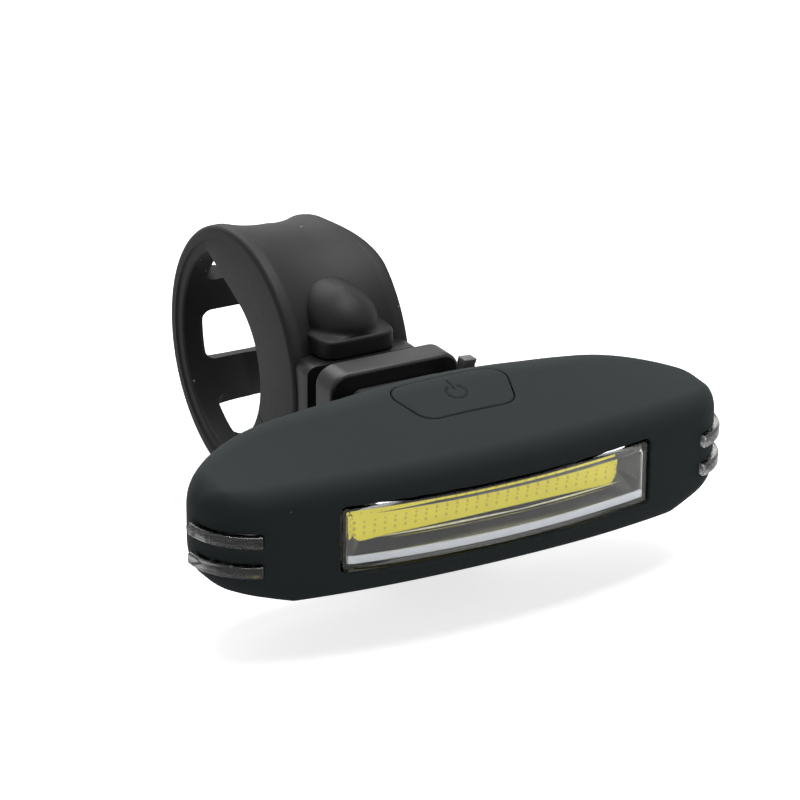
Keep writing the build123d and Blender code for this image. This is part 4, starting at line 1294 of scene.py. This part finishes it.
class StripFrame(bpy.types.Operator):
    """Dark mirror frame from the lens's flanks to the strip, and the pale rail under it, a painted
    reflection of the light in the lens's lower bevel
    """

    bl_idname = "headlight.strip_frame"
    bl_label = "Strip frame"

    def execute(self, context):
        scene = context.scene
        head, lens = scene.headlight_head, scene.headlight_lens
        low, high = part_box("reflector")
        strip_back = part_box("light_strip")[1].y
        outside = (lens.length / 2 - lens.wall / 3, lens.height / 2 - lens.wall / 3)
        # The frame reaches under the strip's edge, and has a flat rim round its front
        under, rim = 0.3 * MM, 0.7 * MM
        inside = (lens.strip_length / 2 - under, lens.strip_height / 2 - under)
        middle = lens.mid_z + lens.strip_lift
        front = low.y - 0.2 * MM
        # Each row: half length, half height, height of its middle, corner, place along the beam
        rows = [
            (*outside, lens.mid_z, lens.corner, high.y),
            (*outside, lens.mid_z, lens.corner, front),
            (outside[0] - rim, outside[1] - rim, lens.mid_z, 0.6 * MM, front),
            (*inside, middle, lens.strip_corner, strip_back - 0.1 * MM),
            (*inside, middle, lens.strip_corner, high.y),
        ]
        grid = []
        for half_length, half_height, up, corner, y in rows:
            outline = outline_points(rectangle(half_length, half_height, (0, up)), corner, (10, 24))
            grid.append(np.insert(outline, 1, y, axis=-1))
        frame_piece = solid("strip_frame", np.stack(grid), close_rows=True)
        smooth(frame_piece, 30)
        dress(frame_piece, "gloss_black", "head", "reflector")
        frame_piece.data.materials[0] = metal_material("dark mirror", DARK_MIRROR, 0.06)
        # Pale rail under the strip: painted reflection of the light in the lens's lower bevel
        rail = solid("lens_reflection_rail", reflection_rail_grid(head, lens))
        smooth(rail, 40)
        dress(rail, "white_reflector", "head")
        return {"FINISHED"}


DARK_MIRROR = (0.055, 0.053, 0.042)


def reflection_rail_grid(head, lens):
    """Painted reflection of the lower bevel: a pale bar along the lens's bow, a flat rounded
    section for each x.
    """
    x = np.linspace(-1, 1, 60) * (lens.length / 2 - lens.wall - 0.2 * MM)
    middle = lens.mid_z - lens.reflection_rail_low + lens.reflection_rail_height / 2
    thick = 0.25 * MM
    corners = rectangle(thick, lens.reflection_rail_height / 2, (lens.wall + thick + 0.1 * MM, middle))
    section = outline_points(corners, 0.2 * MM, (5, 3))
    y = lens_bow(head, lens, x)[:, None] + section[None, :, 0]
    z = np.broadcast_to(section[None, :, 1], y.shape)
    return np.stack((np.broadcast_to(x[:, None], y.shape), y, z), axis=-1)


class Strap(bpy.types.Operator):
    """Rubber strap: the ring with its saddle and slots, its loose tail and its hood"""

    bl_idname = "headlight.strap"
    bl_label = "Strap"

    def execute(self, context):
        scene = context.scene
        strap, hood = scene.headlight_strap, scene.headlight_hood
        end = strap.tail_end - strap.tail_gap + 2 * math.pi
        ring = strap_piece(strap, "strap_ring", strap.seam_angle, end, (0, 1, 2))
        dress(ring, "strap_rubber", "bracket", "strap")
        tail = strap_piece(strap, "strap_end", strap.tail_end, strap.seam_angle, (3,))
        dress(tail, "strap_rubber", None, "strap_tail")
        hinge = strap.first_slot - HINGE_SLOT * strap.slot_pitch
        start, end = (
            Vector((0, *on_ring(strap, strap.rim_radius, hinge + spread)))
            for spread in (HINGE_SPREAD, -HINGE_SPREAD)
        )
        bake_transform(tail)
        nose = hood_piece(strap, hood)
        dress(nose, "strap_rubber", "bracket")
        return {"FINISHED"}


# Midway between the slots 2 and 3, and this angle to each side: the hinge's ends on the rim are
# worked out, but nothing bends the tail
HINGE_SLOT = 2.5
HINGE_SPREAD = math.radians(9)


def on_ring(strap, radius, angle):
    """(y, z) at a radius and angle about the ring's centre."""
    return strap.centre_y + radius * np.cos(angle), strap.centre_z + radius * np.sin(angle)


def inside_radius(strap, angles):
    """Radius of the ring's inside at each angle: the ring, or nearer the saddle's tangents.

    The saddle is the envelope of the bar's tangents within its half angle, so its radius is the
    least distance along the ray to any of them.
    """
    tangent = np.linspace(math.pi - strap.saddle_angle, math.pi + strap.saddle_angle, 240)
    normal_y, normal_z = np.cos(tangent), np.sin(tangent)
    reach = strap.bar_radius - normal_y * strap.centre_y - normal_z * strap.centre_z
    facing = np.cos(angles[:, None] - tangent[None])
    distance = np.where(facing > LEAST_FACING, reach / np.maximum(facing, LEAST_FACING), np.inf)
    return np.minimum(strap.inner_radius, distance.min(axis=1))


# Cosine under which a tangent runs too nearly along the ray to be met
LEAST_FACING = 0.01


def band_radius(strap, x):
    """Radius of the band's outside at x: a hollow arc between two rims with rounded edges."""
    half = strap.width / 2
    away = np.abs(x)
    shoulder = half - strap.rim_round - strap.rim_crest
    sag = strap.rim_radius - strap.valley_radius
    arc = (shoulder**2 + sag**2) / (2 * sag)
    valley = strap.rim_radius - sag + arc - np.sqrt(arc**2 - np.minimum(away, shoulder) ** 2)
    past = np.clip(away - (half - strap.rim_round), 0, strap.rim_round)
    edge = strap.rim_round - np.sqrt(strap.rim_round**2 - past**2)
    return np.where(away < shoulder, valley, strap.rim_radius) - edge


# Angle from the saddle's middle where the lean starts, and over which it grows
LEAN_START = math.radians(50)
LEAN_RUN = math.radians(45)


def leaned(strap, x, radius, angle):
    """Place across the strap and radius after the soft ring's right side has drawn in.

    The share grows as a smooth step of the angle from the saddle, and x over the half width
    scales how far the radius sinks.
    """
    away = np.abs((angle % (2 * math.pi)) - math.pi)
    part = np.clip((away - LEAN_START) / LEAN_RUN, 0, 1)
    part = part**2 * (3 - 2 * part)
    side = np.clip(x / (strap.width / 2), 0, 1)
    return x * (1 - strap.lean * part * (x > 0)), radius - strap.slack * part * side


def band_places(strap):
    """Places across the band's outside, from the left side to the right."""
    flat = strap.width / 2 - strap.rim_round
    rim = flat + strap.rim_round * np.sin(np.linspace(0, math.pi / 2, 6))
    side = np.concatenate((np.linspace(0, flat, 34), rim[1:]))
    return np.concatenate((-side[:0:-1], side))


def strap_grid(strap, angles):
    """Places across the strap and radii of one closed section for each angle.

    A section runs over the band from left to right, down the right side face, which steps in,
    round to the inside, and back the same way on the left.
    """
    half = strap.width / 2
    turn_r = strap.inner_round
    inner = inside_radius(strap, angles)[:, None]
    step_x = half - strap.step_depth
    side_r = np.array([
        strap.rim_radius - strap.rim_round - 0.3 * MM,
        strap.step_radius + 0.15 * MM,
        strap.step_radius - 0.15 * MM,
    ])
    arc = np.linspace(0, math.pi / 2, 5)
    low_x = step_x - turn_r + turn_r * np.cos(arc)
    inner_x = np.linspace(step_x - turn_r, 0, 20)[1:]
    right_x = np.concatenate(([half, half, step_x], low_x, inner_x))
    right_r = np.concatenate((
        np.maximum(side_r, inner + turn_r),
        inner + (turn_r - turn_r * np.sin(arc)),
        np.broadcast_to(inner, (len(angles), len(inner_x))),
    ), axis=1)
    outer_x = band_places(strap)
    outer_r = np.broadcast_to(band_radius(strap, outer_x), (len(angles), len(outer_x)))
    x = np.concatenate((outer_x, right_x, -right_x[-2::-1]))
    radius = np.concatenate((outer_r, right_r, right_r[:, -2::-1]), axis=1)
    return np.broadcast_to(x, radius.shape), radius


# Angle between two sections of the strap
STRAP_STEP = math.radians(0.8)


def strap_piece(strap, name, start, end, slots):
    """Length of the strap between two angles, with its slots cut and their edges rounded."""
    angles = np.linspace(start, end, round((end - start) / STRAP_STEP))
    across, radius = strap_grid(strap, angles)
    middle_r = (strap.inner_radius + strap.valley_radius) / 2
    fall = np.zeros(radius.shape)
    cutters = []
    for slot in slots:
        centre = strap.first_slot - slot * strap.slot_pitch
        arc = (angles - centre) * middle_r
        place = np.stack((across, np.broadcast_to(arc[:, None], radius.shape)), axis=-1)
        corners = rectangle(strap.slot_width / 2, strap.slot_length / 2)
        distance = outline_distance(place, corners, strap.slot_corner)
        fall = np.maximum(fall, lip_fall(distance, strap.slot_lip))
        outline = outline_points(corners, strap.slot_corner, (8, 2))
        rows = []
        hole_x, _ = leaned(strap, outline[:, 0], 0, np.array(centre))
        for reach in (strap.bar_radius, strap.rim_radius + 3 * MM):
            y = strap.centre_y + reach * math.cos(centre) - outline[:, 1] * math.sin(centre)
            z = strap.centre_z + reach * math.sin(centre) + outline[:, 1] * math.cos(centre)
            rows.append(np.stack((hole_x, y, z), axis=-1))
        cutters.append(solid("slot", np.stack(rows)))
    outside = np.where(radius > middle_r, -1, 1)
    across, radius = leaned(strap, across, radius + fall * outside, angles[:, None])
    grid = np.stack((across, *on_ring(strap, radius, angles[:, None])), axis=-1)
    piece = solid(name, grid)
    carve(piece, cutters)
    return smooth(piece, 40)


# Round of the hood's lip
LIP_ROUND = 0.5 * MM
# Powers by which the dome narrows and draws back, and the share of its width left at the top
DOME_WIDTH_POWER = 1.25
DOME_FRONT_POWER = 1.4
DOME_TOP_SHARE = 0.1
# Power of the outlines' superellipse at the lip, and what the dome's adds to it
BOXY_POWER = 0.3
DOME_POWER = 0.55


def hood_piece(strap, hood):
    """Hood over the bracket's tongue: level outlines stacked from its lip to its top.

    Each outline is a superellipse, x by a power of the cosine and y by a power of the sine, boxy
    at the lip and round on the dome. The dome's width and front shrink by powers of an ellipse of
    the height.
    """
    quarter = np.linspace(0, math.pi / 2, 6)[1:]
    levels = np.concatenate((
        np.linspace(hood.low, hood.lip_top - LIP_ROUND, 6),
        hood.lip_top - LIP_ROUND + LIP_ROUND * np.sin(quarter),
        np.linspace(hood.lip_top, hood.foot, 6)[1:],
        hood.foot + (hood.apex - hood.foot) * np.sin(np.linspace(0, math.pi / 2, 30))[1:],
    ))
    edge = np.clip(levels - (hood.lip_top - LIP_ROUND), 0, LIP_ROUND)
    lip_in = LIP_ROUND - np.sqrt(np.maximum(LIP_ROUND**2 - edge**2, 0))
    rise = np.clip((levels - hood.lip_top) / (hood.foot - hood.lip_top), 0, 1)
    ledge = np.sqrt(1 - (1 - rise) ** 2)
    climb = np.clip((levels - hood.foot) / (hood.apex - hood.foot), 0, 1)
    dome = np.sqrt(np.maximum(1 - climb**2, 0))
    wide = (hood.half_width - lip_in) * (1 - ledge) + hood.dome_half_width * ledge
    half = wide * (DOME_TOP_SHARE + (1 - DOME_TOP_SHARE) * dome**DOME_WIDTH_POWER)
    front = (hood.lip_front + lip_in) * (1 - ledge) + hood.dome_front * ledge
    front = hood.apex_front + (front - hood.apex_front) * dome**DOME_FRONT_POWER
    power = BOXY_POWER + DOME_POWER * ledge
    angle = np.linspace(0, math.pi, 60)
    cosine = np.sign(np.cos(angle)) * np.abs(np.cos(angle)) ** power[:, None]
    sine = np.abs(np.sin(angle)) ** power[:, None]
    x = half[:, None] * cosine
    y = hood.buried + (front[:, None] - hood.buried) * sine
    z = np.broadcast_to(levels[:, None], x.shape)
    piece = solid("strap_hood", np.stack((x, y, z), axis=-1))
    inside = rectangle(hood.half_width - 2.0 * MM, 2 * MM, (0, hood.low))
    near = hood.lip_front + 1.6 * MM
    carve(piece, [facing_prism("hollow", inside, 0.6 * MM, near, hood.buried)])
    return smooth(piece, 40)


class HardParts(bpy.types.Operator):
    """Lever, base and shoe, with the edges of their CAD forms rounded"""

    bl_idname = "headlight.hard_parts"
    bl_label = "Hard parts"

    def execute(self, context):
        for name, node, width, slot, body in (
            ("lever_form", "release_lever", 0.35 * MM, "lever_plastic", "lever"),
            ("base_form", "mount_base", 0.3 * MM, "gloss_black", "bracket"),
            ("shoe_form", "rail_shoe", 0.25 * MM, "case_plastic", "head"),
        ):
            piece = rounded_copy(name, node, width)
            dress(piece, slot, body, node)
        return {"FINISHED"}


class KeptNodes(bpy.types.Operator):
    """CAD nodes that keep their shape and get a finer material"""

    bl_idname = "headlight.kept_nodes"
    bl_label = "Kept nodes"

    def execute(self, context):
        slots = {part["node"]: part["material_slot"] for part in frame["record"]["subparts"]}
        for name, node in NODES.items():
            if name not in slots:
                raise RuntimeError(f"{name} has no material slot in the record")
            finish = finish_of(KEPT_FINISHES.get(name, slots[name]))
            if not node.material_slots:
                node.data.materials.append(finish)
            for place in node.material_slots:
                place.material = finish
        return {"FINISHED"}


# Kept nodes whose finish differs from their slot's
KEPT_FINISHES = {
    "left_window": "smoky window",
    "right_window": "smoky window",
    "mount_block": "block with painted highlight",
}


class Stage(bpy.types.Operator):
    """Pale floor, soft lights, white surroundings and the camera"""

    bl_idname = "headlight.stage"
    bl_label = "Stage"

    def execute(self, context):
        scene = context.scene
        scene.view_settings.view_transform = "Standard"
        make_floor(scene)
        make_world(scene)
        for name, place, aim, power, across in (
            ("key light", (0.1, -0.02, 0.74), (0, -0.04, 0), 9.0, 0.6),
            ("fill light", (0.5, -0.55, 0.35), (0, -0.05, 0), 0.7, 0.5),
            ("back light", (0.05, 0.6, 0.5), (0, -0.03, 0), 2.5, 0.5),
        ):
            lamp = bpy.data.lights.new(name, "AREA")
            lamp.energy = power
            lamp.size = across
            lamp_object = new_object(name, lamp)
            lamp_object.matrix_world = looking(Vector(place), Vector(aim), Vector((0, 0, 1)))
        make_camera(scene)
        return {"FINISHED"}


def looking(place, aim, up):
    """Matrix at a place whose -Z looks at aim, with Y towards up."""
    back = (place - aim).normalized()
    right = up.cross(back).normalized()
    above = back.cross(right)
    turned = Matrix((right, above, back)).transposed().to_4x4()
    return Matrix.Translation(place) @ turned


def make_camera(scene):
    """Camera at the photograph's angle, aimed so that the frame's middle needs no shift."""
    view = scene.headlight_view
    lens = scene.headlight_lens
    azimuth, elevation, roll = view.azimuth, view.elevation, view.roll
    back = Vector((
        math.sin(azimuth) * math.cos(elevation),
        -math.cos(azimuth) * math.cos(elevation),
        math.sin(elevation),
    ))
    right = Vector((math.cos(azimuth), math.sin(azimuth), 0))
    up = back.cross(right)
    level = math.cos(roll) * right + math.sin(roll) * up
    above = -math.sin(roll) * right + math.cos(roll) * up
    origin = Vector((0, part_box("front_lens")[0].y + VIEW_DEPTH, lens.mid_z))
    place = origin + view.distance * back
    ahead = -back - level * (view.across / view.focal) + above * (view.down / view.focal)
    camera = bpy.data.cameras.new("camera")
    camera.sensor_width = view.sensor / MM
    camera.lens = view.focal / view.frame_width * camera.sensor_width
    camera.clip_start = 0.01
    camera_object = new_object("camera", camera)
    camera_object.matrix_world = looking(place, place + ahead, above)
    scene.camera = camera_object


# The measured view is centred on the plane of the strip, this far behind the lens's front
VIEW_DEPTH = 3.5 * MM


# The floor's drop under the lowest point, half its width, and its glow to the camera
FLOOR_DROP = 0.1 * MM
FLOOR_REACH = 4.0
FLOOR_GLOW = 0.75
# Light of the surroundings on everything that is neither seen nor mirrored
WORLD_LIGHT = 0.17


def make_floor(scene):
    """Wide flat floor under the strap's lowest point, pale to the camera."""
    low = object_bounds()[0][2] - FLOOR_DROP
    corners = rectangle(FLOOR_REACH, FLOOR_REACH).tolist()
    mesh = bpy.data.meshes.new("floor")
    mesh.from_pydata([(*corner, low) for corner in corners], [], [(0, 1, 2, 3)])
    floor = new_object("floor", mesh)
    material, tree, shader = new_material("floor")
    rays = tree.nodes.new("ShaderNodeLightPath")
    feed_all(
        tree, shader, Roughness=0.9, Specular_IOR_Level=0.1,
        Base_Color=(*scene.headlight_colours.floor, 1), Emission_Color=(1, 1, 1, 1),
        Emission_Strength=math_node(tree, "MULTIPLY", rays.outputs["Is Camera Ray"], FLOOR_GLOW),
    )
    mesh.materials.append(material)
    floor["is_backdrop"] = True


def make_world(scene):
    """White surroundings for the camera and for gloss and glass, softer light for the rest."""
    world = bpy.data.worlds.new("surroundings")
    world.use_nodes = True
    scene.world = world
    tree = world.node_tree
    tree.nodes.clear()
    rays = tree.nodes.new("ShaderNodeLightPath").outputs
    seen = math_node(tree, "ADD", rays["Is Camera Ray"], rays["Is Transmission Ray"])
    seen = math_node(tree, "ADD", seen, rays["Is Glossy Ray"])
    seen = math_node(tree, "MINIMUM", seen, 1)
    light, white = (
        add_node(tree, "ShaderNodeBackground", Strength=strength, Color=(1, 1, 1, 1))
        for strength in (WORLD_LIGHT, 1)
    )
    mix = tree.nodes.new("ShaderNodeMixShader")
    for index, source in enumerate((seen, light.outputs[0], white.outputs[0])):
        feed(tree, source, mix.inputs[index])
    output = tree.nodes.new("ShaderNodeOutputWorld")
    feed(tree, mix.outputs[0], output.inputs["Surface"])


class HeadlightPanel(bpy.types.Panel):
    """Lists the headlight's pieces and sizes"""

    bl_idname = "VIEW3D_PT_headlight"
    bl_label = "Bicycle headlight"
    bl_space_type = "VIEW_3D"
    bl_region_type = "UI"
    bl_category = "Headlight"

    def draw(self, context):
        layout = self.layout
        for operator in OPERATORS:
            layout.operator(operator.bl_idname)
        for name, group in GROUPS.items():
            box = layout.box()
            box.label(text=group.__name__)
            for key in group.__annotations__:
                box.prop(getattr(context.scene, name), key)


OPERATORS = (
    KeptNodes, HeadSkin, SoftButton, FrontLens, LightStrip, StripFrame, Strap, HardParts, Stage
)


def register():
    for group in GROUPS.values():
        bpy.utils.register_class(group)
    for name, group in GROUPS.items():
        setattr(bpy.types.Scene, name, bpy.props.PointerProperty(type=group))
    for operator in OPERATORS:
        bpy.utils.register_class(operator)
    bpy.utils.register_class(HeadlightPanel)


def unregister():
    bpy.utils.unregister_class(HeadlightPanel)
    for operator in reversed(OPERATORS):
        bpy.utils.unregister_class(operator)
    for name in GROUPS:
        delattr(bpy.types.Scene, name)
    for group in reversed(list(GROUPS.values())):
        bpy.utils.unregister_class(group)


def main():
    """Build every piece in order."""
    register()
    bpy.ops.headlight.kept_nodes()
    bpy.ops.headlight.head_skin()
    bpy.ops.headlight.soft_button()
    bpy.ops.headlight.front_lens()
    bpy.ops.headlight.light_strip()
    bpy.ops.headlight.strip_frame()
    bpy.ops.headlight.strap()
    bpy.ops.headlight.hard_parts()
    bpy.ops.headlight.stage()


if __name__ == "__main__":
    main()
